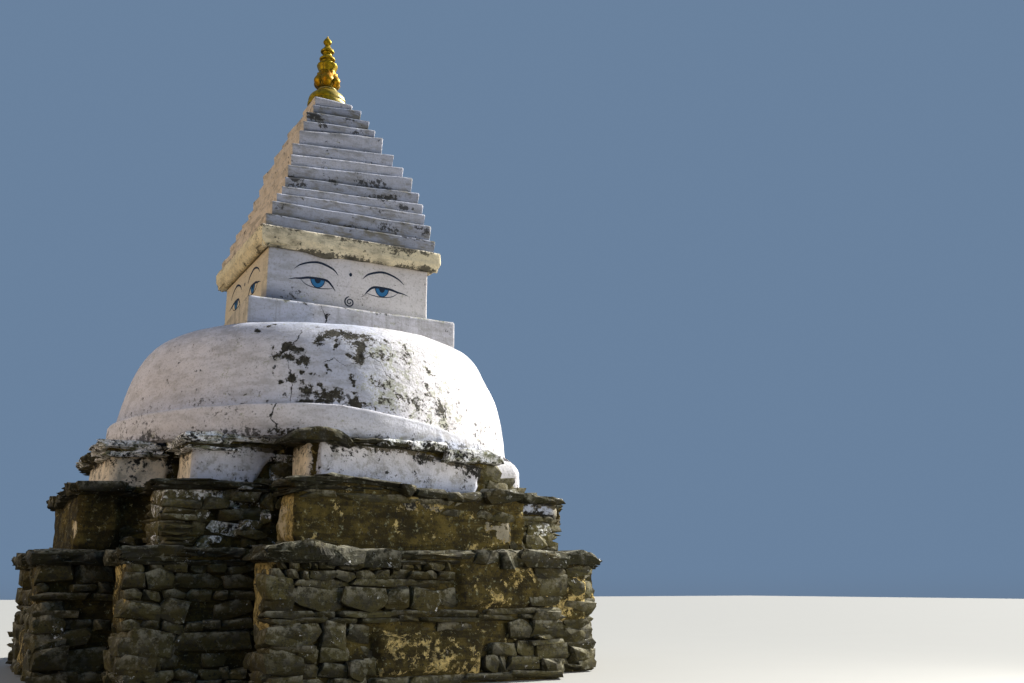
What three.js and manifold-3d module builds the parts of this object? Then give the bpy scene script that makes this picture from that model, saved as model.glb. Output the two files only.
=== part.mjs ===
// A whitewashed wayside stupa of rubble masonry, about five metres tall.
// Units are millimetres. +Z is up, -Y is the front, and the origin is on the dome's axis at ground level.

import * as THREE from 'three';
import { mergeVertices } from 'three/addons/utils/BufferGeometryUtils.js';
import Module from 'manifold-3d';

// The three stepped tiers, each a square block with a bay standing out of the middle of each side.
// corner: half the square block. bay: distance from the axis to the bay's face. half: half the bay's width.
// foot and top: heights of the masonry. ledge: height of the top of the slates laid on it.
// overhang: how far the slates stand out. plastered: the one side where plaster runs up over them, flush.
const TIERS = {
  lower: { corner: 1490, bay: 1880, half: 910, foot: 0, top: 680, ledge: 770, overhang: 60 },
  middle: { corner: 1320, bay: 1700, half: 750, foot: 680, top: 1100, ledge: 1173, overhang: 70 },
  upper: {
    corner: 1130, bay: 1530, half: 620, foot: 1100, top: 1365, ledge: 1450, overhang: 75, plastered: 'right',
  },
};
const FRONT_BAY_SHIFT = 100; // the front and back bays were built a little to the right of the axis
const CORE_HALF = 980; // core of the upper tier, which comes up inside its slates to carry the dome

// The low band at the dome's foot and the broad-shouldered dome on it.
const BAND_RADIUS = 1470;
const BAND_TOP = 1660;
const BAND_ROUNDING = 18;
const DOME_TOP = 2285;
const DOME_CURVE = { crownRadius: 539, reach: 927, foot: 1350, crown: 2303, rise: 1.378, fullness: 6.67 };
const DOME_SEGMENTS = 72;

// The square work over the dome.
const BASE_SLAB_PLAN = [[-780, -780], [780, -780], [775, 770], [-705, 770]]; // not quite square
const BASE_SLAB_TOP = 2486;
const EYE_BOX_HALF = 620;
const EYE_BOX_TOP = 2906;
const CORNICE = { foot: 646, flare: 694, lip: 700, lipHeight: 70, top: 3041 };

// The thirteen steps of the spire, from the lowest up: half the width, the height of the top's middle, how far the
// middle stands to the right of the axis, and the slope of the top, as its rise to the right and to the back.
const SPIRE_STEPS = [
  { half: 667, top: 3147, across: 1, right: 0.011, back: 0.010 },
  { half: 628, top: 3280, across: 9, right: 0.022, back: 0.025 },
  { half: 598, top: 3379, across: 14, right: 0.040, back: 0.040 },
  { half: 570, top: 3466, across: 27, right: 0.061, back: 0.050 },
  { half: 543, top: 3560, across: 29, right: 0.074, back: 0.055 },
  { half: 507, top: 3679, across: 20, right: 0.095, back: 0.050 },
  { half: 462, top: 3777, across: 6, right: 0.090, back: 0.045 },
  { half: 422, top: 3891, across: -18, right: 0.107, back: 0.060 },
  { half: 350, top: 4045, across: -22, right: 0.135, back: 0.058 },
  { half: 303, top: 4127, across: -26, right: 0.100, back: 0.055 },
  { half: 268, top: 4224, across: -28, right: 0.085, back: 0.050 },
  { half: 209, top: 4323, across: -24, right: 0.105, back: 0.045 },
  { half: 163, top: 4390, across: -43, right: 0, back: 0 },
];
const STEP_WORN_EDGE = 14;
const STEP_JOINT = 0.3; // between a sloping step and the one on it
const TIP_HEIGHT = 5045;
const TIP_LEAN = -70; // the finial stands to the left, by this much at its tip

const FINIAL_SEGMENTS = 32;

const material = (color, roughness, metalness = 0) =>
  new THREE.MeshStandardMaterial({ color, roughness, metalness });

const MATERIALS = {
  rubble: material(0x6a5a45, 0.95),
  slate: material(0x5d5a4b, 0.9),
  whitewash: material(0xc9c6c8, 0.85),
  creamWash: material(0xd6c79c, 0.85),
  gilt: material(0xb08a2a, 0.4, 0.9),
};

const group = new THREE.Group();

const place = (name, geometry, finish, x = 0) => {
  const mesh = new THREE.Mesh(geometry, finish);
  mesh.name = name;
  mesh.position.x = x;
  group.add(mesh);
};

// How far the finial's middle stands from the axis at a height, on a line from the cornice to the tip.
const lean = (z) => Math.round(TIP_LEAN * (z - CORNICE.top) / (TIP_HEIGHT - CORNICE.top));

const prism = (points, foot, top) => {
  const outline = new THREE.Shape(points.map(([x, y]) => new THREE.Vector2(x, y)));
  const geometry = new THREE.ExtrudeGeometry(outline, { depth: top - foot, bevelEnabled: false });
  return geometry.translate(0, 0, foot);
};

// A round solid from a profile of [radius, height] pairs that starts and ends on the axis.
const turned = (profile, segments) => {
  const geometry = new THREE.LatheGeometry(profile.map(([r, z]) => new THREE.Vector2(r, z)), segments);
  return geometry.rotateX(Math.PI / 2);
};

// A square solid from a profile of [half width, height] pairs: a lathe with four sides, turned to face the front.
const squareTurned = (profile) => {
  const corners = profile.map(([half, z]) => [half * Math.SQRT2, z]);
  return turned(corners, 4).rotateZ(Math.PI / 4);
};

const block = (half, foot, top) => {
  const geometry = new THREE.BoxGeometry(2 * half, 2 * half, top - foot);
  return geometry.translate(0, 0, (foot + top) / 2);
};

// One quarter of a tier's outline, from its left corner to its right one, for the side that faces -Y.
const sideOutline = ({ corner, bay, half }, shift, grow = 0) => [
  [-corner - grow, -corner - grow],
  [shift - half - grow, -corner - grow],
  [shift - half - grow, -bay - grow],
  [shift + half + grow, -bay - grow],
  [shift + half + grow, -corner - grow],
];

// Turns a side's points from the front to the right, back or left side, in exact quarter turns.
const quarterTurns = {
  front: ([x, y]) => [x, y],
  right: ([x, y]) => [-y, x],
  back: ([x, y]) => [-x, -y],
  left: ([x, y]) => [y, -x],
};
const SIDE_SHIFTS = { front: FRONT_BAY_SHIFT, right: 0, back: -FRONT_BAY_SHIFT, left: 0 };

const tierOutline = (tier) =>
  Object.keys(quarterTurns).flatMap((side) => sideOutline(tier, SIDE_SHIFTS[side]).map(quarterTurns[side]));

// The slates along one side of a tier, round the foot of the masonry that stands inside them.
// Those in front and behind run past the corners, and those at the sides butt against them.
const ledgeOutline = (tier, inner, side) => {
  const shift = SIDE_SHIFTS[side];
  const overhang = side === tier.plastered ? 0 : tier.overhang;
  const front = -tier.corner - overhang;
  const rear = -inner.corner;
  const end = side === 'front' || side === 'back' ? -front : inner.corner;
  const outerBay = sideOutline(tier, shift, overhang).slice(1);
  const innerBay = inner.bay ? sideOutline(inner, shift).slice(1).reverse() : [];
  const points = [[-end, rear], [-end, front], ...outerBay, [end, front], [end, rear], ...innerBay];
  return points.map(quarterTurns[side]);
};

// Joins solids that are one mass of masonry.
const wasm = await Module();
wasm.setup();

const toSolid = (geometry) => {
  geometry.deleteAttribute('normal');
  geometry.deleteAttribute('uv');
  const merged = mergeVertices(geometry);
  return new wasm.Manifold(new wasm.Mesh({
    numProp: 3,
    vertProperties: new Float32Array(merged.attributes.position.array),
    triVerts: new Uint32Array(merged.index.array),
  }));
};

const joined = (first, second) => {
  const mesh = toSolid(first).add(toSolid(second)).getMesh();
  const geometry = new THREE.BufferGeometry();
  geometry.setAttribute('position', new THREE.BufferAttribute(mesh.vertProperties, 3));
  geometry.setIndex(new THREE.BufferAttribute(mesh.triVerts, 1));
  return geometry;
};

// Tiers of rubble masonry
const { lower, middle, upper } = TIERS;
place('lower_tier', prism(tierOutline(lower), lower.foot, lower.top), MATERIALS.rubble);
place('middle_tier', prism(tierOutline(middle), middle.foot, middle.top), MATERIALS.rubble);
const upperMass = prism(tierOutline(upper), upper.foot, upper.top);
const upperCore = block(CORE_HALF, upper.foot, upper.ledge);
place('upper_tier', joined(upperMass, upperCore), MATERIALS.whitewash);

// Slate ledges, one to each side of each tier
const core = { corner: CORE_HALF };
for (const [name, tier, inner] of [['lower', lower, middle], ['middle', middle, upper], ['upper', upper, core]]) {
  for (const side of Object.keys(quarterTurns)) {
    const slates = prism(ledgeOutline(tier, inner, side), tier.top, tier.ledge);
    place(`${name}_ledge_${side}`, slates, MATERIALS.slate);
  }
}

// Band at the dome's foot
const bandProfile = [
  [0, upper.ledge],
  [BAND_RADIUS, upper.ledge],
  [BAND_RADIUS, BAND_TOP - BAND_ROUNDING],
  [BAND_RADIUS - BAND_ROUNDING, BAND_TOP],
  [0, BAND_TOP],
];
place('dome_band', turned(bandProfile, DOME_SEGMENTS), MATERIALS.whitewash);

// Dome, whose radius falls slowly up its sides and fast over its shoulder
const domeRadius = (z) => {
  const { crownRadius, reach, foot, crown, rise, fullness } = DOME_CURVE;
  const climb = (z - foot) / (crown - foot);
  return crownRadius + reach * (1 - climb ** rise) ** (1 / fullness);
};
const DOME_RINGS = 14;
const domeProfile = [[0, BAND_TOP]];
for (let ring = 0; ring <= DOME_RINGS; ring += 1) {
  const turn = (ring / DOME_RINGS) * (Math.PI / 2);
  const z = BAND_TOP + (DOME_TOP - BAND_TOP) * Math.sin(turn);
  domeProfile.push([domeRadius(z), z]);
}
domeProfile.push([0, DOME_TOP]);
place('dome', turned(domeProfile, DOME_SEGMENTS), MATERIALS.whitewash);

// Square base slab, box and cornice
place('box_base', prism(BASE_SLAB_PLAN, DOME_TOP, BASE_SLAB_TOP), MATERIALS.whitewash);
place('eye_box', block(EYE_BOX_HALF, BASE_SLAB_TOP, EYE_BOX_TOP), MATERIALS.whitewash);
const corniceProfile = [
  [0, EYE_BOX_TOP],
  [CORNICE.foot, EYE_BOX_TOP],
  [CORNICE.flare, CORNICE.top - CORNICE.lipHeight],
  [CORNICE.lip, CORNICE.top],
  [0, CORNICE.top],
];
place('cornice', squareTurned(corniceProfile), MATERIALS.creamWash);

// Spire of thirteen steps, each made level and then fitted to the slopes of its foot and its top
const slope = ({ top, across, right, back }) => (x, y) => top + right * (x - across) + back * y;
const FOOT_MARK = -100; // any height under the worn edge, until the foot is fitted

const spireStep = ({ half, across }, footAt, topAt) => {
  const geometry = squareTurned([
    [0, FOOT_MARK],
    [half, FOOT_MARK],
    [half, -STEP_WORN_EDGE],
    [half - STEP_WORN_EDGE, 0],
    [0, 0],
  ]);
  const places = geometry.attributes.position;
  for (let i = 0; i < places.count; i += 1) {
    const x = places.getX(i) + across;
    const y = places.getY(i);
    const z = places.getZ(i);
    places.setZ(i, z < -STEP_WORN_EDGE - 1 ? footAt(x, y) : topAt(x, y) + z);
  }
  geometry.computeVertexNormals();
  return geometry;
};

SPIRE_STEPS.forEach((step, index) => {
  const below = index > 0 ? slope(SPIRE_STEPS[index - 1]) : null;
  const footAt = (x, y) => (below ? below(x, y) + STEP_JOINT : CORNICE.top);
  const name = `spire_step_${String(index + 1).padStart(2, '0')}`;
  place(name, spireStep(step, footAt, slope(step)), MATERIALS.whitewash, step.across);
});

// Gilt finial, from the bell on the last step up to the jewel. Each piece stands on the one below.
const SPIRE_TOP = SPIRE_STEPS.at(-1).top;
const FINIAL_PIECES = {
  finial_base: [
    [150, SPIRE_TOP], [154, 4420], [146, 4465], [118, 4508], [84, 4534], [72, 4548], [78, 4558], [72, 4570],
  ],
  finial_lotus: [[72, 4570], [98, 4592], [112, 4622], [118, 4655], [112, 4688], [84, 4700]],
  finial_vase: [[60, 4700], [74, 4716], [84, 4742], [88, 4768], [80, 4796], [56, 4806]],
  finial_ring_lower: [[56, 4806], [70, 4820], [72, 4834], [60, 4862], [44, 4886]],
  finial_ring_upper: [[44, 4886], [58, 4898], [60, 4912], [50, 4940], [30, 4962]],
  finial_jewel: [[26, 4962], [35, 4980], [38, 4998], [28, 5020], [10, 5038]],
};
for (const [name, wall] of Object.entries(FINIAL_PIECES)) {
  const foot = wall[0][1];
  const head = name === 'finial_jewel' ? TIP_HEIGHT : wall.at(-1)[1];
  const profile = [[0, foot], ...wall, [0, head]];
  place(name, turned(profile, FINIAL_SEGMENTS), MATERIALS.gilt, lean((foot + head) / 2));
}

export default group;
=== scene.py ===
"""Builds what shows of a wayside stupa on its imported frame: masonry, slates, plaster, paint and gilding.

Lengths are in metres. +Z is up, -Y is the front, and the origin is on the dome's axis at ground level.
"""

import math
import random
from functools import cached_property

import bmesh
import bpy
import numpy as np
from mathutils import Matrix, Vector, noise


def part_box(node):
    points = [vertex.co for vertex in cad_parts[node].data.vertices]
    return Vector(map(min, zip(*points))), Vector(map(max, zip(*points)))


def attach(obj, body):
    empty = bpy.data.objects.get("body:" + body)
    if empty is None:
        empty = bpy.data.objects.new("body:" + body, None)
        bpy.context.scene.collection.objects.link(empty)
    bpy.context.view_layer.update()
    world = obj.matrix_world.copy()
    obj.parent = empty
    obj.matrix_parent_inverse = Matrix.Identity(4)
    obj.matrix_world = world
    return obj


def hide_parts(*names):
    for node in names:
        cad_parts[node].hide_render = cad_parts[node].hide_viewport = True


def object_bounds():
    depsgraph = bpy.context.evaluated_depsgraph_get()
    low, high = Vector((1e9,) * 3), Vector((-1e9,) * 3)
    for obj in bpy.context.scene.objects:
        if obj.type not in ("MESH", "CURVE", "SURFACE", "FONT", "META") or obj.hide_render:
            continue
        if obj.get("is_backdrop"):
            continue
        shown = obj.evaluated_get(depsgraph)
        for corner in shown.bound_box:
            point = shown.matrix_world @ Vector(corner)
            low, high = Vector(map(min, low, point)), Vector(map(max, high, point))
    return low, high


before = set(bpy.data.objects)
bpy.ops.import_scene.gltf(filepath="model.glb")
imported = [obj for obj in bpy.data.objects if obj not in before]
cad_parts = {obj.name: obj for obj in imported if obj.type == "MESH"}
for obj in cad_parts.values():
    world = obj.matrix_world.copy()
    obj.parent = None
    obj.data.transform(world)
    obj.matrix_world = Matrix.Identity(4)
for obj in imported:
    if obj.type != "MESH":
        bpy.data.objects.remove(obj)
CAD_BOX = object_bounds()

bl_info = {
    "name": "Wayside stupa",
    "version": (1, 0, 0),
    "blender": (4, 5, 0),
    "location": "3D View > Sidebar > Stupa",
    "description": "Builds the masonry, slates, plaster, paint and gilding of a wayside stupa",
    "category": "Add Mesh",
}

# The tiers, as in the part's source. The heights come from the frame.
PLANS = {
    "lower": {"corner": 1.49, "bay": 1.88, "half": 0.91, "overhang": 0.06},
    "middle": {"corner": 1.32, "bay": 1.7, "half": 0.75, "overhang": 0.07},
    "upper": {"corner": 1.13, "bay": 1.53, "half": 0.62, "overhang": 0.075},
}
SIDES = ("front", "right", "back", "left")
SIDE_SHIFTS = {"front": 0.1, "right": 0.0, "back": -0.1, "left": 0.0}
CORNER_LEFT, RETURN_LEFT, BAY, RETURN_RIGHT, CORNER_RIGHT = range(5)

SPIRE_STEPS = [f"spire_step_{number:02d}" for number in range(1, 14)]


# Settings that a user would change


def length(label, text, value):
    return bpy.props.FloatProperty(name=label, description=text, default=value, unit="LENGTH", subtype="DISTANCE")


def angle(label, text, degrees):
    return bpy.props.FloatProperty(
        name=label, description=text, default=math.radians(degrees), unit="ROTATION", subtype="ANGLE"
    )


def colour(label, text, code):
    """A colour setting from its six-digit code, made linear."""
    parts = [int(code[i : i + 2], 16) / 255 for i in (0, 2, 4)]
    value = [c / 12.92 if c <= 0.04045 else ((c + 0.055) / 1.055) ** 2.4 for c in parts]
    return bpy.props.FloatVectorProperty(
        name=label, description=text, default=value, size=3, min=0, max=1, subtype="COLOR"
    )


class StupaColours(bpy.types.PropertyGroup):
    """Colours of the stupa's finishes"""

    whitewash: colour("Whitewash", "Limewash on the dome, box and spire", "dcd9dc")
    # Painted shade: the bluish colour that whitewash takes in sky-lit shade, laid where a piece's cool field says.
    sky_shade_wash: colour("Cool whitewash", "Thin or damp limewash", "a0abc3")
    # Painted warm light with dust: the tan of whitewash on left-facing sides, for warm light bounced onto them as well
    # as dust.
    dust_and_warm_light_wash: colour("Warm whitewash", "Limewash tinted by dust", "e6d2a6")
    cream_wash: colour("Cream wash", "Wash on the cornice", "e6dabb")
    bare_render: colour("Bare render", "Weathered render where the wash has peeled", "5c584a")
    mould: colour("Mould", "Dark growth on edges and runs", "2b2a26")
    # On the finial's bell this colour also paints the highlight on the sunlit side and top.
    lichen: colour("Lichen", "Pale green growth on worn wash and gilding", "a6a887")
    mud: colour("Mud plaster", "Brown mud plaster on the tiers", "51461f")
    ochre: colour("Ochre mud", "Dry yellow mud", "9e8b58")
    stone: colour("Stone", "Stones of the rubble walls", "56502f")
    slate: colour("Slate", "Slates of the ledges", "3f3d26")
    eye_line: colour("Eye lines", "Painted lines of the eyes", "1d2a3d")
    eye_blue: colour("Eye blue", "Painted irises", "2f6f9f")
    gilt: colour("Gilt", "Weathered gilding of the finial", "b59616")
    lotus_gilt: colour("Lotus gilt", "Warmer gilding on the lotus petals", "b08810")
    floor: colour("Floor", "Plain floor of the stage", "9c9c99")


class StupaMasonry(bpy.types.PropertyGroup):
    """Sizes of the stones, slates and plaster"""

    stone_length: length("Stone length", "Mean length of a wall stone", 0.24)
    course: length("Course height", "Mean height of a course", 0.085)
    unevenness: length("Unevenness", "How far stones are worn out of true", 0.012)
    slate_width: length("Slate width", "Mean width of a slate along its ledge", 0.36)
    coat: length("Coat", "Thickness of plaster that stands proud of the stones", 0.007)
    recess: length("Recess", "Depth of the joints behind the stones' faces", 0.045)
    seed: bpy.props.IntProperty(name="Seed", description="Changes how the stones are laid", default=4, min=0)


class StupaPaint(bpy.types.PropertyGroup):
    """Sizes of the painted eyes"""

    eye_width: length("Eye width", "Width of one eye, a fifth of the box", 0.248)
    eye_height: length("Eye line", "Height of the eyes above the ground", 2.7)
    line: length("Line", "Greatest width of a painted line", 0.017)
    thickness: length("Paint", "How far the paint stands proud", 0.0012)


class StupaStage(bpy.types.PropertyGroup):
    """Camera, light and floor"""

    sun_turn: angle("Sun direction", "Where the sun stands, from the right towards the back", 4.0)
    sun_height: angle("Sun height", "Height of the sun above the horizon", 35.0)
    sun_strength: bpy.props.FloatProperty(name="Sun strength", description="Power of the sun", default=10.0, min=0)
    fill_strength: bpy.props.FloatProperty(name="Fill", description="Power of the pale sky", default=0.34, min=0)
    floor_size: length("Floor size", "Width of the floor", 80.0)


# Node graphs


class Graph:
    """Adds nodes to a tree and links them. Every method but the last two returns an output socket."""

    def __init__(self, tree):
        self.tree = tree
        if tree.bl_idname == "ShaderNodeTree":
            tree.nodes.clear()

    def add(self, kind, values=None, out=0, **settings):
        node = self.tree.nodes.new(kind)
        for key, value in settings.items():
            setattr(node, key, value)
        for key, value in (values or {}).items():
            socket = node.inputs[key]
            if isinstance(value, bpy.types.NodeSocket):
                self.tree.links.new(value, socket)
            else:
                socket.default_value = value
        return node.outputs[out]

    def math(self, operation, first, second=0.0, third=0.0, clamp=False):
        values = {0: first, 1: second, 2: third}
        return self.add("ShaderNodeMath", values, operation=operation, use_clamp=clamp)

    def vector(self, operation, first, second, out=0):
        values = {0: first, "Scale" if operation == "SCALE" else 1: second}
        return self.add("ShaderNodeVectorMath", values, out, operation=operation)

    def step(self, value, low, high, start=0.0, end=1.0):
        values = {"Value": value, "From Min": low, "From Max": high, "To Min": start, "To Max": end}
        return self.add("ShaderNodeMapRange", values, interpolation_type="SMOOTHSTEP")

    def noise(self, vector, scale, detail, roughness, out=0):
        values = {"Vector": vector, "Scale": scale, "Detail": detail, "Roughness": roughness}
        return self.add("ShaderNodeTexNoise", values, out)

    def patches(self, noise, *levels):
        """Soft-edged patches over the piece, from the noise's scale, detail and roughness."""
        return self.step(self.noise(self.place, *noise), *levels)

    def blend(self, factor, first, second):
        return self.add("ShaderNodeMix", {0: factor, 6: first, 7: second}, 2, data_type="RGBA")

    def layers(self, base, *coats):
        """Colours laid one over another, each where its mask says."""
        for mask, paint in coats:
            base = self.blend(mask, base, paint)
        return base

    @cached_property
    def place(self):
        """Object coordinates."""
        return self.add("ShaderNodeTexCoord", out=3)

    def stretched(self, *factors):
        return self.vector("MULTIPLY", self.place, factors)

    def field(self, name):
        return self.add("ShaderNodeAttribute", out=2, attribute_name=name)

    def effect(self, tree, out=0, **values):
        """A shared effect on the piece's own coordinates."""
        return self.add("ShaderNodeGroup", {"Vector": self.place, **values}, out, node_tree=tree)

    def finish(self, base, height, distance, roughness=0.9, metallic=0.0, specular=0.3):
        """The shader itself, with its constants on its own sockets."""
        shader = self.add("ShaderNodeBsdfPrincipled", {
            "Base Color": base, "Roughness": roughness, "Metallic": metallic, "Specular IOR Level": specular,
            "Normal": self.add("ShaderNodeBump", {"Height": height, "Distance": distance, "Strength": 1.0}),
        })
        self.end("ShaderNodeOutputMaterial", shader)

    def end(self, kind, result):
        self.tree.links.new(result, self.tree.nodes.new(kind).inputs[0])


NUMBER, VECTOR, GEOMETRY, MATERIAL = (f"NodeSocket{kind}" for kind in ("Float", "Vector", "Geometry", "Material"))
SOCKETS = {float: NUMBER, int: "NodeSocketInt", tuple: VECTOR}


def node_group(kind, inputs, outputs):
    """Makes a node group with the function under it on the first call, and finds it again on later ones.

    An input is given by its default value, or by its kind of socket where it has no default.
    """

    def wrap(build):
        def find(name=build.__name__, *values):
            tree = bpy.data.node_groups.get(name)
            if tree:
                return tree
            tree = bpy.data.node_groups.new(name, kind)
            for label, default in inputs.items():
                valued = type(default) in SOCKETS
                socket_type = SOCKETS[type(default)] if valued else default
                socket = tree.interface.new_socket(label, in_out="INPUT", socket_type=socket_type)
                if valued:
                    socket.default_value = default
            for label, socket_type in outputs.items():
                tree.interface.new_socket(label, in_out="OUTPUT", socket_type=socket_type)
            results = build(Graph(tree), tree.nodes.new("NodeGroupInput").outputs, *values)
            for result, socket in zip(results, tree.nodes.new("NodeGroupOutput").inputs):
                tree.links.new(result, socket)
            return tree

        return find

    return wrap


@node_group("ShaderNodeTree", {"Vector": VECTOR, "Scale": 6.0, "Fineness": 0.35}, {"Height": NUMBER})
def surface_grain(graph, given):
    """Coarse and fine grain of a rough surface, as a height."""
    coarse = graph.noise(given["Vector"], given["Scale"], 6.0, 0.6)
    fine = graph.noise(given["Vector"], graph.math("MULTIPLY", given["Scale"], 9.0), 3.0, 0.7)
    return [graph.math("MULTIPLY_ADD", fine, given["Fineness"], coarse)]


@node_group(
    "ShaderNodeTree",
    {"Vector": VECTOR, "Field": 0.0, "Scale": 12.0, "Raggedness": 2.2},
    {"Bare": NUMBER, "Rim": NUMBER},
)
def peeled_coat(graph, given):
    """Where a coat has come away: a ragged mask from a smooth field, with the rim of what is left."""
    grain = graph.noise(given["Vector"], given["Scale"], 8.0, 0.74)
    lumps = graph.noise(given["Vector"], graph.math("MULTIPLY", given["Scale"], 0.3), 2.0, 0.5)
    both = graph.math("MULTIPLY_ADD", lumps, 0.6, grain)
    ragged = graph.math("MULTIPLY_ADD", graph.math("SUBTRACT", both, 0.8), given["Raggedness"], given["Field"])
    bare = graph.step(ragged, 0.475, 0.525)
    return [bare, graph.math("SUBTRACT", graph.step(ragged, 0.38, 0.47), bare, clamp=True)]


@node_group("ShaderNodeTree", {"Vector": VECTOR, "Amount": 0.0, "Scale": 30.0}, {"Mask": NUMBER})
def mould_specks(graph, given):
    """Clusters of small dark specks, denser where the amount is higher."""
    specks = graph.noise(given["Vector"], given["Scale"], 8.0, 0.72)
    clusters = graph.noise(given["Vector"], graph.math("MULTIPLY", given["Scale"], 0.16), 2.0, 0.5)
    both = graph.math("MULTIPLY_ADD", clusters, 0.5, specks)
    edge = graph.math("MULTIPLY_ADD", given["Amount"], -0.55, 1.11)
    return [graph.step(graph.math("SUBTRACT", both, edge), -0.02, 0.05)]


@node_group("ShaderNodeTree", {"Vector": VECTOR, "Amount": 0.0, "Scale": 14.0}, {"Mask": NUMBER})
def drip_streaks(graph, given):
    """Runs of stained water down a wall."""
    runs = graph.noise(graph.vector("MULTIPLY", given["Vector"], (1.0, 1.0, 0.09)), given["Scale"], 5.0, 0.6)
    spread = graph.noise(given["Vector"], 1.7, 2.0, 0.5)
    mask = graph.step(graph.math("MULTIPLY_ADD", spread, 0.5, runs), 0.72, 0.95)
    return [graph.math("MULTIPLY", mask, given["Amount"], clamp=True)]


@node_group("ShaderNodeTree", {"Vector": VECTOR, "Offset": 1.0, "Reach": 0.0, "Width": 0.0034}, {"Mask": NUMBER})
def crack_line(graph, given):
    """A thin crack where the signed distance from its line is near nothing."""
    jag = graph.math("SUBTRACT", graph.noise(given["Vector"], 22.0, 5.0, 0.7), 0.5)
    away = graph.math("ABSOLUTE", graph.math("MULTIPLY_ADD", jag, 0.06, given["Offset"]))
    breadth = graph.noise(given["Vector"], 9.0, 3.0, 0.6)
    wide = graph.math("MULTIPLY", given["Width"], graph.step(breadth, 0.3, 0.7, 0.25, 1.6))
    mask = graph.math("SUBTRACT", 1.0, graph.math("DIVIDE", away, wide), clamp=True)
    return [graph.math("MULTIPLY", graph.step(mask, 0.0, 0.4), given["Reach"], clamp=True)]


# Materials


def shared_material(build):
    """Makes a material of the given name on the first call, and finds it again on later ones."""

    def find(name, *values, **settings):
        found = bpy.data.materials.get(name)
        if not found:
            found = bpy.data.materials.new(name)
            found.use_nodes = True
            build(Graph(found.node_tree), *values, **settings)
        return found

    return find


def tint(value, factor):
    return tuple(channel * factor for channel in value)


def rgba(value, factor=1.0):
    return (*(min(1.0, channel) for channel in tint(value, factor)), 1.0)


@shared_material
def limewash(graph, wash, cool, warm, grain=7.0, relief=0.012, peel_scale=14.0, mould_scale=34.0, drips=16.0):
    """Brushed limewash over render, which peels, cracks, runs and grows mould where the piece's fields say, and takes
    painted bluish shade and warm light where they say too.
    """
    colours, field = bpy.context.scene.stupa_colours, graph.field
    dirt = rgba(colours.bare_render, 1.5)
    smudges = graph.noise(graph.stretched(1.0, 1.0, 2.6), 7.0, 8.0, 0.68)
    dirt_and_shade_amount = graph.math("MULTIPLY_ADD", field("soil"), 0.9, 0.16)
    peel = {"Field": field("peel"), "Scale": peel_scale}
    bare, rim = graph.effect(peeled_coat(), 0, **peel), graph.effect(peeled_coat(), 1, **peel)
    worn = graph.effect(peeled_coat(), Field=field("thin"), Scale=40.0, Raggedness=2.6)
    render = graph.layers(
        rgba(colours.bare_render, 0.2),
        (graph.patches((38.0, 5.0, 0.65), 0.35, 0.65), rgba(colours.bare_render, 0.6)),
        (graph.patches((90.0, 4.0, 0.7), 0.6, 0.68, 0.0, 0.35), rgba(wash, 0.7)),
    )
    crack = graph.effect(crack_line(), Offset=field("crack"), Reach=field("crack_reach"))
    growth = graph.effect(mould_specks(), Amount=field("mould"), Scale=mould_scale)
    base = graph.layers(
        rgba(wash),
        (graph.patches((2.3, 5.0, 0.6), 0.36, 0.66), rgba(wash, 0.84)),
        # Painted shade and light: the cool layer is the bluish colour of sky-lit shade, the warm one the tan of warm
        # light on left-facing sides, and the shade layer a deeper blue shade.
        (field("cool"), rgba(cool)),
        (field("warm"), rgba(warm)),
        (field("shade"), rgba(cool, 0.42)),
        # Dirt, whose amount in places also paints shade or light.
        (graph.step(smudges, 0.44, 0.64, 0.0, dirt_and_shade_amount), dirt),
        (graph.patches((75.0, 6.0, 0.75), 0.5, 0.66, 0.0, 0.42), dirt),
        (graph.effect(drip_streaks(), Amount=field("drip"), Scale=drips), dirt),
        (graph.math("MULTIPLY", rim, 0.3), rgba(colours.bare_render, 2.0)),
        (graph.math("MULTIPLY", worn, 0.62), rgba(colours.lichen, 0.85)),
        (bare, render),
        (graph.math("MAXIMUM", crack, graph.math("MULTIPLY", growth, 0.86)), rgba(colours.mould)),
    )
    coat = graph.effect(surface_grain(), Scale=grain)
    sunk = graph.math("MAXIMUM", graph.math("MULTIPLY", bare, 0.32), graph.math("MULTIPLY", crack, 0.6))
    rough_place = graph.math("MULTIPLY", graph.noise(graph.place, 17.0, 9.0, 0.72), field("rough"))
    height = graph.math("MULTIPLY_ADD", rough_place, 1.2, graph.math("SUBTRACT", coat, sunk))
    graph.finish(base, height, relief, roughness=0.88)


def dome_wash():
    colours = bpy.context.scene.stupa_colours
    # Painted light: the dome's whitewash and its shade colour are copies made 12 % brighter than the box's, and its
    # pinkish warm tint stands for warm light on its left.
    pale, cool = tint(colours.whitewash, 1.12), tint(colours.sky_shade_wash, 1.12)
    return limewash("dome_whitewash", pale, cool, (0.86, 0.76, 0.71), peel_scale=44.0)


def box_wash():
    colours = bpy.context.scene.stupa_colours
    return limewash("box_whitewash", colours.whitewash, colours.sky_shade_wash, colours.dust_and_warm_light_wash, grain=9.0, relief=0.008,
                    peel_scale=18.0)


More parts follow.
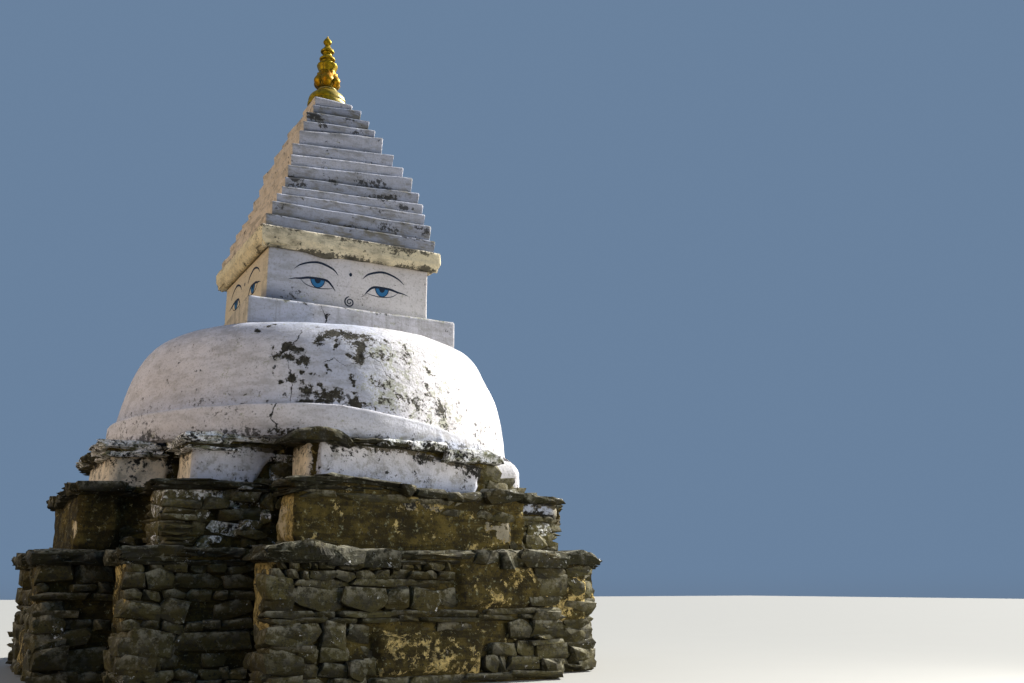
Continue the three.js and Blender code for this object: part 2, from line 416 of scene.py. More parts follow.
@shared_material
def masonry_stone(graph, stone, lichen=0.25):
    """Schist in thin layers: each stone has its own tone, with lichen, dust and limewash on it. The limewash is whiter
    than the walls', which paints light on it, and the dust along the tops also paints light on them.
    """
    colours = bpy.context.scene.stupa_colours
    layered = graph.noise(graph.stretched(3.0, 3.0, 34.0), 1.0, 6.0, 0.6)
    dust = graph.patches((22.0, 6.0, 0.72), 0.42, 0.6, 0.0, 0.8)
    # Painted light: limewash on stones and slates, whiter than the walls' own.
    lime = graph.layers(
        rgba(colours.whitewash, 1.55),
        (graph.patches((18.0, 6.0, 0.7), 0.44, 0.62), rgba(colours.lichen, 0.6)),
        (graph.effect(mould_specks(), Amount=0.6, Scale=52.0), rgba(colours.mould)),
    )
    base = graph.layers(
        rgba(stone, 0.55),
        (graph.field("tone"), rgba(stone, 1.45)),
        (graph.step(layered, 0.42, 0.62, 0.0, 0.5), rgba(stone, 0.4)),
        (graph.patches((5.0, 5.0, 0.6), 0.48, 0.62, 0.0, 0.6), rgba(colours.mud, 0.8)),
        (graph.patches((26.0, 7.0, 0.7), 0.56, 0.62, 0.0, lichen), (0.42, 0.42, 0.33, 1.0)),
        (graph.patches((60.0, 4.0, 0.7), 0.55, 0.64, 0.0, 0.8), rgba(colours.mould, 0.7)),
        (graph.patches((12.0, 9.0, 0.76), 0.5, 0.57, 0.0, 0.62), rgba(colours.mould, 1.6)),
        # Paler dust along the tops and top edges that the brow field marks: dust, and painted light on those edges.
        (graph.math("MULTIPLY", dust, graph.field("brow")), (0.34, 0.32, 0.24, 1.0)),
        (graph.effect(peeled_coat(), Field=graph.field("lime"), Scale=30.0, Raggedness=2.6), lime),
    )
    grain = graph.effect(surface_grain(), Scale=16.0, Fineness=0.5)
    graph.finish(base, graph.math("MULTIPLY_ADD", layered, 0.9, grain), 0.014, roughness=0.92)


def slate_finish():
    return masonry_stone("ledge_slate", bpy.context.scene.stupa_colours.slate, 0.35)


@shared_material
def tier_coat(graph, mud, wash_colour):
    """Mud plaster over the core, with ochre and whitewash where the piece's fields say, and painted bluish shade and
    warm light on the whitewash.
    """
    colours = bpy.context.scene.stupa_colours
    streaks = graph.noise(graph.stretched(2.4, 2.4, 22.0), 1.0, 7.0, 0.66)
    dry = graph.patches((30.0, 7.0, 0.72), 0.38, 0.62)
    washed = graph.effect(peeled_coat(), Field=graph.field("wash"), Scale=24.0, Raggedness=2.0)
    stained = graph.effect(peeled_coat(), Field=graph.field("stain"), Scale=26.0, Raggedness=2.4)
    lime = graph.layers(
        rgba(wash_colour),
        (graph.patches((5.0, 7.0, 0.64), 0.36, 0.66), rgba(wash_colour, 0.72)),
        # Painted shade and light on the whitewash: a brighter bluish shade colour, and a brighter tan for warm light on
        # left-facing walls.
        (graph.field("cool"), rgba(colours.sky_shade_wash, 1.16)),
        (graph.field("warm"), rgba(colours.dust_and_warm_light_wash, 1.25)),
        (graph.patches((14.0, 8.0, 0.72), 0.47, 0.62, 0.0, 0.52), rgba(colours.bare_render, 1.6)),
        (graph.effect(drip_streaks(), Amount=graph.field("drip"), Scale=26.0), rgba(colours.ochre, 1.2)),
        (graph.math("MULTIPLY", stained, 0.85), rgba(colours.mud, 0.8)),
        (graph.effect(mould_specks(), Amount=graph.field("mould"), Scale=42.0), rgba(colours.mould)),
    )
    base = graph.layers(
        rgba(mud, 0.38),
        (graph.patches((8.0, 8.0, 0.7), 0.38, 0.64), rgba(mud, 1.5)),
        (graph.step(streaks, 0.46, 0.6, 0.0, 0.7), rgba(mud, 0.25)),
        (
            graph.effect(peeled_coat(), Field=graph.field("ochre"), Scale=18.0, Raggedness=2.6),
            graph.blend(dry, rgba(colours.ochre, 0.55), rgba(colours.ochre, 1.8)),
        ),
        (graph.patches((48.0, 6.0, 0.74), 0.53, 0.62, 0.0, 0.9), rgba(colours.mould, 0.6)),
        (graph.patches((36.0, 7.0, 0.74), 0.57, 0.65, 0.0, 0.65), rgba(colours.lichen, 0.8)),
        (washed, lime),
    )
    grain = graph.effect(surface_grain(), Scale=11.0, Fineness=0.6)
    graph.finish(base, graph.math("MULTIPLY_ADD", washed, 0.25, grain), 0.012, roughness=0.94)


@shared_material
def flat_paint(graph, paint):
    """Hand-brushed distemper, thinner and paler here and there."""
    thin = graph.noise(graph.place, 60.0, 5.0, 0.65)
    base = graph.blend(graph.step(thin, 0.55, 0.75, 0.0, 0.5), rgba(paint), rgba(paint, 2.4))
    graph.finish(base, thin, 0.0008, roughness=0.8)


@shared_material
def weathered_gilt(graph, gilt, ground=None):
    """Gilding with dark weathering and painted shade in the hollows and on the undersides, an orange ground where it is
    rubbed through, and a pale painted highlight where the piece's fields mark it.
    """
    worn = graph.noise(graph.place, 14.0, 6.0, 0.65)
    rubbed = [(graph.patches((26.0, 3.0, 0.6), 0.53, 0.6, 0.0, 0.7), rgba(ground))] if ground else []
    grime = graph.patches((34.0, 6.0, 0.7), 0.5, 0.68, 0.0, 0.75)
    # Painted highlight, in a pale lichen green, where the pale field marks the sunlit side.
    painted_highlight = graph.math("MULTIPLY", graph.step(worn, 0.35, 0.6, 0.4, 1.0), graph.field("pale"))
    base = graph.layers(
        rgba(gilt),
        (graph.step(worn, 0.4, 0.66), rgba(gilt, 0.62)),
        *rubbed,
        # Dark grime at random, and painted shade where the hollow field marks undersides and creases.
        (graph.math("MAXIMUM", grime, graph.field("hollow")), (0.04, 0.04, 0.008, 1.0)),
        (graph.patches((22.0, 6.0, 0.7), 0.48, 0.66, 0.0, 0.55), rgba(gilt, 1.6)),
        (painted_highlight, rgba(bpy.context.scene.stupa_colours.lichen, 1.1)),
    )
    graph.finish(base, worn, 0.004, graph.step(worn, 0.3, 0.7, 0.38, 0.62), metallic=0.6, specular=0.2)


@shared_material
def floor_paint(graph, paint):
    """The plain floor of the stage."""
    tone = graph.noise(graph.place, 1.5, 3.0, 0.5)
    graph.finish(graph.blend(tone, rgba(paint, 0.97), rgba(paint)), tone, 0.001, roughness=0.95)


# Meshes


def ripple(points, size, seed=0.0):
    """Smooth noise from -1 to 1 at each point, in bumps about this wide."""
    shift = Vector((seed * 7.31, seed * 3.17, seed * 5.73))
    return np.array([noise.noise(Vector(point) / size + shift) for point in points])


def skin(rings, looped=False):
    """Points and faces of a closed skin through equal rings. Each end is drawn to its middle, or joined if looped."""
    rings = np.asarray(rings, dtype=float)
    levels, count = rings.shape[:2]
    points = rings.reshape(-1, 3)
    around = np.arange(count)
    ahead = (around + 1) % count
    faces = []
    for level in range(levels if looped else levels - 1):
        low, high = level * count, ((level + 1) % levels) * count
        faces.extend(np.stack([low + around, low + ahead, high + ahead, high + around], axis=1).tolist())
    if not looped:
        middles = [rings[0].mean(axis=0), rings[-1].mean(axis=0)]
        points = np.vstack([points, middles])
        foot, head = levels * count, levels * count + 1
        top = (levels - 1) * count
        faces.extend(np.stack([around * 0 + foot, ahead, around], axis=1).tolist())
        faces.extend(np.stack([around * 0 + head, top + around, top + ahead], axis=1).tolist())
    return points, faces


def closed_mesh(name, points, faces, smooth=True):
    """A mesh with its faces outward."""
    mesh = bpy.data.meshes.new(name)
    mesh.from_pydata(np.asarray(points, dtype=float).tolist(), [], faces)
    work = bmesh.new()
    work.from_mesh(mesh)
    bmesh.ops.recalc_face_normals(work, faces=work.faces)
    work.to_mesh(mesh)
    work.free()
    mesh.polygons.foreach_set("use_smooth", [smooth] * len(mesh.polygons))
    return mesh


def store(mesh, label, values):
    """Keeps a number for each point of a mesh, or the same one for all, under a name."""
    values = np.ascontiguousarray(np.broadcast_to(values, len(mesh.vertices)), dtype=np.float32)
    mesh.attributes.new(label, "FLOAT", "POINT").data.foreach_set("value", values)


def make_piece(name, points, faces, material, slot, stands_for=(), smooth=True, fields=None):
    """One finished piece on the root body, with its fields stored on its points."""
    mesh = closed_mesh(name, points, faces, smooth)
    for label, values in (fields or {}).items():
        store(mesh, label, values)
    mesh.materials.append(material)
    mesh.validate()
    piece = bpy.data.objects.new(name, mesh)
    bpy.context.scene.collection.objects.link(piece)
    return settle(piece, slot, stands_for)


def settle(piece, slot, stands_for=()):
    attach(piece, "root")
    if stands_for:
        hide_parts(*stands_for)
    return piece


def walk(outline, spacing, clear):
    """Samples a closed outline. At a corner, the way outwards is mitred, and nothing else lies nearer than clear."""
    outline = np.asarray(outline, dtype=float)
    places, ways, edges = [], [], []
    count = len(outline)
    before = outline[0] - outline[-1]
    before /= np.linalg.norm(before)
    for index in range(count):
        start, end = outline[index], outline[(index + 1) % count]
        along = end - start
        reach = np.linalg.norm(along)
        along /= reach
        out_before, out_now = np.array([before[1], -before[0]]), np.array([along[1], -along[0]])
        places.append(start)
        ways.append(out_before + out_now)
        edges.append(index)
        inner = max(2, int(round((reach - 2 * clear) / spacing)) + 1)
        for step in np.linspace(clear, reach - clear, inner):
            places.append(start + along * step)
            ways.append(out_now)
            edges.append(index)
        before = along
    return np.array(places), np.array(ways), np.array(edges)


def rounded_walk(outline, spacing, radius, bends=4):
    """Samples a closed outline with its corners rounded, all alike or each by its own radius."""
    outline = np.asarray(outline, dtype=float)
    places, ways = [], []
    count = len(outline)
    radii = np.broadcast_to(radius, (count,))
    for index in range(count):
        radius, radius_after = radii[index], radii[(index + 1) % count]
        before, corner, after = outline[index - 1], outline[index], outline[(index + 1) % count]
        back = (before - corner) / np.linalg.norm(before - corner)
        ahead = (after - corner) / np.linalg.norm(after - corner)
        out_before, out_after = np.array([-back[1], back[0]]), np.array([ahead[1], -ahead[0]])
        near, far = corner + back * radius, corner + ahead * radius
        for bend in range(bends + 1):
            t = bend / bends
            places.append((1 - t) ** 2 * near + 2 * t * (1 - t) * corner + t * t * far)
            way = out_before * (1 - t) + out_after * t
            ways.append(way / np.linalg.norm(way))
        reach = np.linalg.norm(after - corner) - radius - radius_after
        for step in np.linspace(0, reach, max(3, int(round(reach / spacing)) + 1))[1:-1]:
            places.append(corner + ahead * (radius + step))
            ways.append(out_after)
    return np.array(places), np.array(ways)


def outward(ways, count):
    """The ways outwards at every point of this many rings and of their two middles."""
    return np.vstack([np.tile(np.column_stack([ways, np.zeros(len(ways))]), (count, 1)), np.zeros((2, 3))])


def square(half, across=0.0):
    return [(across - half, -half), (across + half, -half), (across + half, half), (across - half, half)]


def level(places, ways, offset, height, scale=1.0, middle=(0.0, 0.0)):
    """One ring of a piece: the outline moved outwards by an offset, or drawn in towards its middle."""
    middle = np.asarray(middle)
    flat = middle + (places - middle) * scale + ways * np.reshape(offset, (-1, 1)) * scale
    heights = np.broadcast_to(np.asarray(height, dtype=float), (len(places),))
    return np.column_stack([flat, heights])


def round_ring(turns, radius, height, middle=0.0):
    """A ring round an axis. Turns are in radians, from the front to the right."""
    heights = np.broadcast_to(height, len(turns))
    return np.column_stack([middle + radius * np.sin(turns), -radius * np.cos(turns), heights])


def capsule_field(points, capsules, surface):
    """How deep each point lies in the nearest capsule: 1 on its middle line, 0 at its rim and beyond.

    A capsule is two places on a surface and a radius.
    """
    best = np.zeros(len(points))
    for a0, z0, a1, z1, radius in capsules:
        start, end = surface(a0, z0), surface(a1, z1)
        along = end - start
        share = np.clip(((points - start) @ along) / max(along @ along, 1e-9), 0, 1)
        away = np.linalg.norm(points - (start + share[:, None] * along), axis=1)
        best = np.maximum(best, 1 - away / radius)
    return best


def smooth_step(value, low, high):
    share = np.clip((np.asarray(value, dtype=float) - low) / (high - low), 0, 1)
    return share * share * (3 - 2 * share)


# Stage

# The photograph's camera, as it was solved: place, turn from the right towards the back, rise, and lens in millimetres.
CAMERA_PLACE = (-2.353, -7.359, 0.553)
CAMERA_TURN, CAMERA_RISE = math.radians(90 - 28.85), math.radians(13.77)
SENSOR_WIDTH, FOCAL_LENGTH = 36.0, 35.09
SUN_WIDTH, SUN_COLOUR = math.radians(2.5), (1.0, 0.955, 0.88)
SKY_FROM_BELOW, SKY_FROM_ABOVE = (0.29, 0.27, 0.23, 1.0), (0.42, 0.65, 1.0, 1.0)
# Soft lights: power, size, colour, place and the height on the axis that it faces.
SOFT_LIGHTS = {
    "warm_fill": (210.0, 6.0, (1.0, 0.74, 0.46), (-7.3, -1.4, 2.6), 2.2),
    "ground_bounce": (205.0, 3.0, (1.0, 0.94, 0.84), (3.0, -4.8, 0.4), 1.6),
}


def aim(turn, rise):
    """The way to a point that far round from the right towards the back, and that far up."""
    return Vector((math.cos(turn) * math.cos(rise), math.sin(turn) * math.cos(rise), math.sin(rise)))


def area_light(name, energy, size, tone, place, height):
    """A square light out of the camera's sight, facing the axis at a height."""
    light = bpy.data.lights.new(name, "AREA")
    light.energy, light.size, light.color = energy, size, tone
    lamp = bpy.data.objects.new(name, light)
    lamp.location = place
    lamp.rotation_euler = (lamp.location - Vector((0, 0, height))).to_track_quat("Z", "Y").to_euler()
    lamp.visible_camera = False
    bpy.context.scene.collection.objects.link(lamp)


class STUPA_OT_stage(bpy.types.Operator):
    """Set up the camera, the plain floor and the soft light"""

    bl_idname = "stupa.stage"
    bl_label = "Camera, Floor and Light"

    def execute(self, context):
        scene = context.scene
        stage = scene.stupa_stage
        scene.view_settings.view_transform = "Standard"
        scene.view_settings.look = "None"

        lens = bpy.data.cameras.new("camera")
        lens.sensor_width, lens.lens = SENSOR_WIDTH, FOCAL_LENGTH
        camera = bpy.data.objects.new("camera", lens)
        camera.location = CAMERA_PLACE
        camera.rotation_euler = aim(CAMERA_TURN, CAMERA_RISE).to_track_quat("-Z", "Y").to_euler()
        scene.collection.objects.link(camera)
        scene.camera = camera

        world = bpy.data.worlds.new("pale_sky")
        world.use_nodes = True
        graph = Graph(world.node_tree)
        height = graph.add("ShaderNodeSeparateXYZ", {0: graph.add("ShaderNodeTexCoord")}, 2)
        sky = graph.blend(graph.step(height, -0.12, 0.02), SKY_FROM_BELOW, SKY_FROM_ABOVE)
        glow = graph.add("ShaderNodeBackground", {"Color": sky, "Strength": stage.fill_strength})
        graph.end("ShaderNodeOutputWorld", glow)
        scene.world = world

        light = bpy.data.lights.new("sun", "SUN")
        light.energy, light.angle, light.color = stage.sun_strength, SUN_WIDTH, SUN_COLOUR
        sun = bpy.data.objects.new("sun", light)
        sun.rotation_euler = aim(stage.sun_turn, stage.sun_height).to_track_quat("Z", "Y").to_euler()
        scene.collection.objects.link(sun)
        for name, values in SOFT_LIGHTS.items():
            area_light(name, *values)

        mesh = bpy.data.meshes.new("floor")
        mesh.from_pydata([(x, y, 0) for x, y in square(stage.floor_size / 2)], [], [(0, 1, 2, 3)])
        mesh.materials.append(floor_paint("floor", scene.stupa_colours.floor))
        floor = bpy.data.objects.new("floor", mesh)
        scene.collection.objects.link(floor)
        floor.visible_diffuse = floor.visible_glossy = False
        floor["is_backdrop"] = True
        return {"FINISHED"}


# Stones and slates

VARIANTS = 6  # differently worn stones in each kind
STONE_JOINT, COURSE_JOINT, SLATE_JOINT = 0.006, 0.004, 0.004
MISSING_SHARE = 0.07  # of the thick stones
# The range of the stones' tone, and of tone and limewash in the recesses at the left corners. There the stones are
# paler and carry more limewash than elsewhere: real limewash, and painted light in the shaded recess.
TONES = {"lower": (0.0, 0.55), "middle": (0.0, 1.0), "upper": (0.0, 1.0)}
RECESS_TONES = (0.9, 1.5)
RECESS_LIME = {"middle": (0.1, 0.52), "upper": (0.1, 0.62)}
SLATE_TONES = {"lower": 0.3, "middle": 0.12, "upper": 0.8}


@node_group(
    "GeometryNodeTree",
    {
        "Geometry": GEOMETRY, "Wear": (0.14, 0.14, 0.14), "Rounding": 0.3, "Unevenness": 0.01, "Bump Size": 0.2,
        "Seed": 1, "Finish": MATERIAL,
    },
    {"Geometry": GEOMETRY},
)
def laying_tree(graph, given, counts, hulled):
    """Lays one of six worn stones on each point, by the point's size, turn and variant."""
    position = graph.add("GeometryNodeInputPosition")
    height = graph.add("ShaderNodeSeparateXYZ", {0: position}, 2)
    join = graph.tree.nodes.new("GeometryNodeJoinGeometry")
    for variant in range(VARIANTS):
        sizes = {"Size": (1.0, 1.0, 1.0), "Vertices X": counts[0], "Vertices Y": counts[1], "Vertices Z": counts[2]}
        block = graph.add("GeometryNodeMeshCube", sizes)
        seed = graph.math("ADD", given["Seed"], float(variant * 13))
        span = {0: (-1.0, -1.0, -1.0), 1: (1.0, 1.0, 1.0), "Seed": seed}
        chance = graph.add("FunctionNodeRandomValue", span, data_type="FLOAT_VECTOR")
        far = graph.vector("DOT_PRODUCT", position, position, 1)
        pull = graph.math("MULTIPLY", graph.math("SUBTRACT", 0.4, far), given["Rounding"])
        worn, rounding = graph.vector("MULTIPLY", chance, given["Wear"]), graph.vector("SCALE", position, pull)
        shift = graph.vector("ADD", worn, rounding)
        shaped = graph.add("GeometryNodeSetPosition", {"Geometry": block, "Offset": shift})
        if hulled:
            shaped = graph.add("GeometryNodeConvexHull", {"Geometry": shaped})
        else:
            drawn = graph.vector("MULTIPLY", position, (-0.03, -0.08, 0.0))
            edged = graph.vector("SCALE", drawn, graph.step(graph.math("ABSOLUTE", height), 0.3, 0.5))
            shaped = graph.add("GeometryNodeSetPosition", {"Geometry": shaped, "Offset": edged})
        # Marks each stone's top, where its finish lays paler dust: dust, and painted light on the top edges.
        brow = {"Geometry": shaped, "Name": "brow", "Value": graph.step(height, 0.32, 0.5)}
        shaped = graph.add("GeometryNodeStoreNamedAttribute", brow, data_type="FLOAT", domain="POINT")
        kept = graph.add("GeometryNodeGeometryToInstance", {"Geometry": shaped})
        graph.tree.links.new(kept, join.inputs[0])

    def named(label, kind):
        return graph.add("GeometryNodeInputNamedAttribute", {"Name": label}, data_type=kind)

    turn = graph.add("FunctionNodeEulerToRotation", {0: named("turn", "FLOAT_VECTOR")})
    laid = graph.add("GeometryNodeInstanceOnPoints", {
        "Points": given["Geometry"], "Instance": join.outputs[0], "Pick Instance": True,
        "Instance Index": named("variant", "INT"), "Rotation": turn, "Scale": named("size", "FLOAT_VECTOR"),
    })
    real = graph.add("GeometryNodeRealizeInstances", {"Geometry": laid})
    bumps = graph.noise(position, graph.math("DIVIDE", 1.0, given["Bump Size"]), 2.0, 0.5, out=1)
    offset = graph.vector("SCALE", graph.vector("SUBTRACT", bumps, (0.5, 0.5, 0.5)), given["Unevenness"])
    moved = graph.add("GeometryNodeSetPosition", {"Geometry": real, "Offset": offset})
    flat = graph.add("GeometryNodeSetShadeSmooth", {"Geometry": moved, "Shade Smooth": False})
    return [graph.add("GeometryNodeSetMaterial", {"Geometry": flat, "Material": given["Finish"]})]


def stone_tree():
    return laying_tree("lay_stones", (3, 3, 3), True)


def slate_tree():
    return laying_tree("lay_slates", (6, 4, 4), False)


def grown(name, mesh, tree, settings, slot, stands_for=()):
    """A piece that a node tree makes from a mesh, kept as a plain mesh."""
    piece = bpy.data.objects.new(name, mesh)
    bpy.context.scene.collection.objects.link(piece)
    modifier = piece.modifiers.new("tree", "NODES")
    modifier.node_group = tree
    identifiers = {
        item.name: item.identifier for item in tree.interface.items_tree
        if item.item_type == "SOCKET" and item.in_out == "INPUT"
    }
    for label, value in settings.items():
        modifier[identifiers[label]] = value
    bpy.context.view_layer.update()
    finished = bpy.data.meshes.new_from_object(piece.evaluated_get(bpy.context.evaluated_depsgraph_get()))
    if not finished.polygons:
        raise RuntimeError(f"{name}: the tree made nothing")
    piece.modifiers.clear()
    piece.data = finished
    bpy.data.meshes.remove(mesh)
    finished.name = name
    return settle(piece, slot, stands_for)


def lay(name, stones, tree, settings, slot, stands_for=()):
    """Lays stones through a node tree and keeps the result as a plain mesh. A stone is a place, size, turn and tone."""
    mesh = bpy.data.meshes.new(name)
    mesh.from_pydata([stone["place"] for stone in stones], [], [])
    for label, kind, key in (("size", "FLOAT_VECTOR", "vector"), ("turn", "FLOAT_VECTOR", "vector"),
                             ("variant", "INT", "value"), ("tone", "FLOAT", "value"), ("lime", "FLOAT", "value")):
        values = np.array([stone.get(label, 0) for stone in stones], dtype=np.int32 if kind == "INT" else np.float32)
        mesh.attributes.new(label, kind, "POINT").data.foreach_set(key, values.ravel())
    return grown(name, mesh, tree, settings, slot, stands_for)


def turned_to(side, x, y):
    """A place drawn for the front, turned to another side."""
    return {"front": (x, y), "right": (-y, x), "back": (-x, -y), "left": (y, -x)}[side]


def side_edges(plan, shift, grow=0.0):
    """The five edges of a tier's front, from its left corner to its right one: start, end and the way outwards."""
    corner, bay, half = plan["corner"] + grow, plan["bay"] + grow, plan["half"] + grow
    stops = [
        (-corner, -corner), (shift - half, -corner), (shift - half, -bay),
        (shift + half, -bay), (shift + half, -corner), (corner, -corner),
    ]
    outward = [(0, -1), (-1, 0), (0, -1), (1, 0), (0, -1)]
    return [(stops[i], stops[i + 1], outward[i]) for i in range(5)]


def edge_runs(tier, side, grow=0.0):
    """Each edge of one side, drawn for the front: number, start, way along, way outwards, length and heading."""
    for kind, (start, end, out) in enumerate(side_edges(PLANS[tier], SIDE_SHIFTS[side], grow)):
        start, end, out = np.array(start), np.array(end), np.array(out)
        reach = np.linalg.norm(end - start)
        along = (end - start) / reach
        yield kind, start, along, out, reach, math.atan2(along[1], along[0]) + SIDES.index(side) * math.pi / 2


def tier_outline(plan):
    points = []
    for side in SIDES:
        for start, _, _ in side_edges(plan, SIDE_SHIFTS[side]):
            points.append(turned_to(side, *start))
    return points


def tier_heights(tier):
    """A tier's foot, and the foot and the top of its ledges."""
    ledge_low, ledge_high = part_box(f"{tier}_ledge_front")
    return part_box(f"{tier}_tier")[0][2], ledge_low[2], ledge_high[2]


def wall_stones(tier, inset, spread, seed):
    """Courses of stones over every face of a tier, a little behind the plaster's surface."""
    sizes = bpy.context.scene.stupa_masonry
    foot, top, _ = tier_heights(tier)
    chance = random.Random(sizes.seed * 100 + seed)
    stones = []
    for side in SIDES:
        for kind, start, along, out, reach, heading in edge_runs(tier, side):
            if tier == "upper" and (side == "right" or (side == "front" and kind >= RETURN_RIGHT)):
                continue  # the plaster shoulder covers these
            thin_share = {CORNER_RIGHT: 1.0, CORNER_LEFT: 0.15}.get(kind, 0.35) if tier == "middle" else 0.3
            recessed = tier != "lower" and kind == CORNER_LEFT
            height = foot + 0.012
            while height < top - 0.02:
                thin = chance.random() < thin_share
                course = (chance.uniform(0.3, 0.5) if thin else chance.uniform(0.6, 1.5)) * sizes.course
                course = min(course, top - height)
                if top - height - course < 0.035:
                    course = top - height
                at = 0.04 if (tier, kind) == ("upper", BAY) else -0.01
                while at < reach:
                    stone = chance.uniform(0.5, 1.5) * sizes.stone_length if thin else chance.uniform(0.9, 2.6) * course
                    if reach - at - stone < 0.1:
                        stone = reach + 0.01 - at
                    depth = chance.uniform(0.15, 0.22)
                    sunk = inset + chance.uniform(-spread, spread) * (1 if thin else 1.8) + depth / 2
                    ends = [start + along * (at + stone * share) for share in (0.0, 0.5, 1.0)]
                    us = [end[1] if kind in (RETURN_LEFT, RETURN_RIGHT) else end[0] for end in ends]
                    covered = [coat_depth(tier, side, kind, u, height + course / 2) for u in us]
                    at += stone + STONE_JOINT
                    missing = not thin and chance.random() < MISSING_SHARE
                    if covered[1] > 0.03 or missing:
                        continue
                    if max(covered) > 0.0 or recessed:
                        sunk += 0.012 if recessed else 0.05
                    sunk += 0.035 if (tier, side) == ("middle", "right") else 0.0
                    tall = course * (1.05 if thin else chance.uniform(0.8, 1.12))
                    z = height + course / 2 + chance.uniform(-0.004, 0.004)
                    tilt = chance.gauss(0, 0.04), chance.gauss(0, 0.02 if thin else 0.12)
                    stones.append({
                        "place": (*turned_to(side, *(ends[1] - out * sunk)), z),
                        "size": (stone * 1.03, depth, tall),
                        "turn": (*tilt, heading + chance.gauss(0, 0.08)),
                        "variant": chance.randrange(VARIANTS),
                        "tone": chance.uniform(*(RECESS_TONES if recessed else TONES[tier])),
                        "lime": chance.uniform(*RECESS_LIME[tier]) if recessed else 0.0,
                    })
                height += course + COURSE_JOINT
    for x, y, z, wide, deep, tall, tone in PLACED.get(tier, ()):
        stones.append({
            "place": (x, y, z), "size": (wide, deep, tall), "turn": (0.0, chance.gauss(0, 0.03), chance.gauss(0, 0.04)),
            "variant": chance.randrange(VARIANTS), "tone": tone, "lime": max(0.0, tone - 1.0),
        })
    return stones


def coat_depth(tier, side, kind, u, z):
    """How far inside the nearest patch of coat a place on a wall lies, leaving out its ragged edge."""
    depths = [-1.0]
    for row in coats(tier, side):
        if row[0] == kind:
            _, left, right, foot, top, lean = row[:6]
            depths.append(min(u - left, right + lean * (z - foot) - u, z - foot, top - z))
    return max(depths)


# Stones set one by one: middle, size and tone. What a tone has above one is its limewash.
PLACED = {
    "upper": [
        (0.736, -1.4, 1.268, 0.15, 0.18, 0.13, 0.7), (0.77, -1.39, 1.188, 0.22, 0.18, 0.062, 0.45),
        (0.85, -1.29, 1.225, 0.18, 0.18, 0.07, 0.35), (0.965, -1.21, 1.212, 0.13, 0.14, 0.042, 1.4),
        (0.93, -1.23, 1.182, 0.24, 0.18, 0.046, 0.3), (1.03, -1.215, 1.19, 0.13, 0.14, 0.044, 0.7),
    ],
    "middle": [
        (-0.5, -1.622, 1.072, 0.24, 0.18, 0.038, 0.3), (-0.19, -1.618, 1.062, 0.4, 0.18, 0.05, 0.4),
        (0.17, -1.612, 1.046, 0.32, 0.18, 0.052, 0.2), (0.47, -1.612, 1.036, 0.28, 0.18, 0.048, 0.35),
        (0.7, -1.608, 1.035, 0.22, 0.18, 0.055, 0.15), (0.56, -1.614, 0.985, 0.13, 0.18, 0.04, 0.2),
        (0.7, -1.608, 0.975, 0.17, 0.18, 0.05, 0.3), (0.34, -1.616, 0.992, 0.16, 0.18, 0.036, 0.1),
        (-0.81, -1.3, 0.908, 0.11, 0.14, 0.055, 1.55), (-0.722, -1.3, 0.955, 0.05, 0.12, 0.075, 1.5),
        (-0.8, -1.29, 0.85, 0.15, 0.14, 0.045, 1.35), (-0.86, -1.33, 1.122, 0.07, 0.12, 0.018, 1.6),
        (-0.85, -1.29, 1.07, 0.15, 0.14, 0.055, 1.15), (-0.7, -1.285, 1.045, 0.09, 0.14, 0.08, 1.0),
        (-0.93, -1.29, 0.96, 0.11, 0.14, 0.06, 0.35), (-1.02, -1.28, 1.03, 0.14, 0.14, 0.07, 0.5),
    ],
    "lower": [(-0.78, -1.815, 0.545, 0.15, 0.14, 0.13, 1.0), (-0.56, -1.8, 0.56, 0.18, 0.14, 0.07, 0.3)],
}
# The front ledges as they have settled: across, and the heights of the slates' top and foot.
SETTLED = {
    "upper": [
        (-1.21, 1.455, 1.385), (-0.95, 1.47, 1.39), (-0.7, 1.475, 1.39), (-0.5, 1.45, 1.412),
        (-0.27, 1.436, 1.404), (-0.1, 1.452, 1.397), (0.05, 1.424, 1.387), (0.13, 1.446, 1.374),
        (0.36, 1.448, 1.332), (0.42, 1.402, 1.324), (0.65, 1.4, 1.296), (0.76, 1.368, 1.312),
    ],
    "middle": [
        (-1.39, 1.152, 1.1), (-0.72, 1.17, 1.1), (-0.68, 1.152, 1.09), (-0.53, 1.158, 1.095),
        (-0.48, 1.19, 1.105), (-0.3, 1.205, 1.108), (-0.14, 1.19, 1.1), (0.0, 1.158, 1.086),
        (0.09, 1.138, 1.08), (0.22, 1.132, 1.075), (0.33, 1.12, 1.07), (0.5, 1.13, 1.068),
        (0.75, 1.147, 1.066), (0.84, 1.134, 1.072), (1.05, 1.15, 1.104), (1.39, 1.16, 1.104),
    ],
}


def ledge_line(tier, side, across):
    """Heights of the top and the foot of a tier's slates at places along one side."""
    _, foot, top = tier_heights(tier)
    across = np.asarray(across, dtype=float)
    if side == "front" and tier in SETTLED:
        stops, tops, feet = np.array(SETTLED[tier]).T
        return np.interp(across, stops, tops), np.interp(across, stops, feet)
    spots = [(x, SIDES.index(side) * 3.0, foot) for x in across.ravel()]
    wave = ripple(spots, 0.35, 2).reshape(across.shape)
    return top + 0.012 * wave - 0.006, foot + 0.008 * wave - 0.006


def blocky(tier, side, x):
    """Whether a ledge is of thick blocks here, in place of two thin slates."""
    if tier == "upper":
        return False
    if side == "front" and tier == "middle":
        return x > -0.1
    return noise.noise(Vector((x * 1.3, SIDES.index(side) * 5.0, len(tier)))) > 0.05


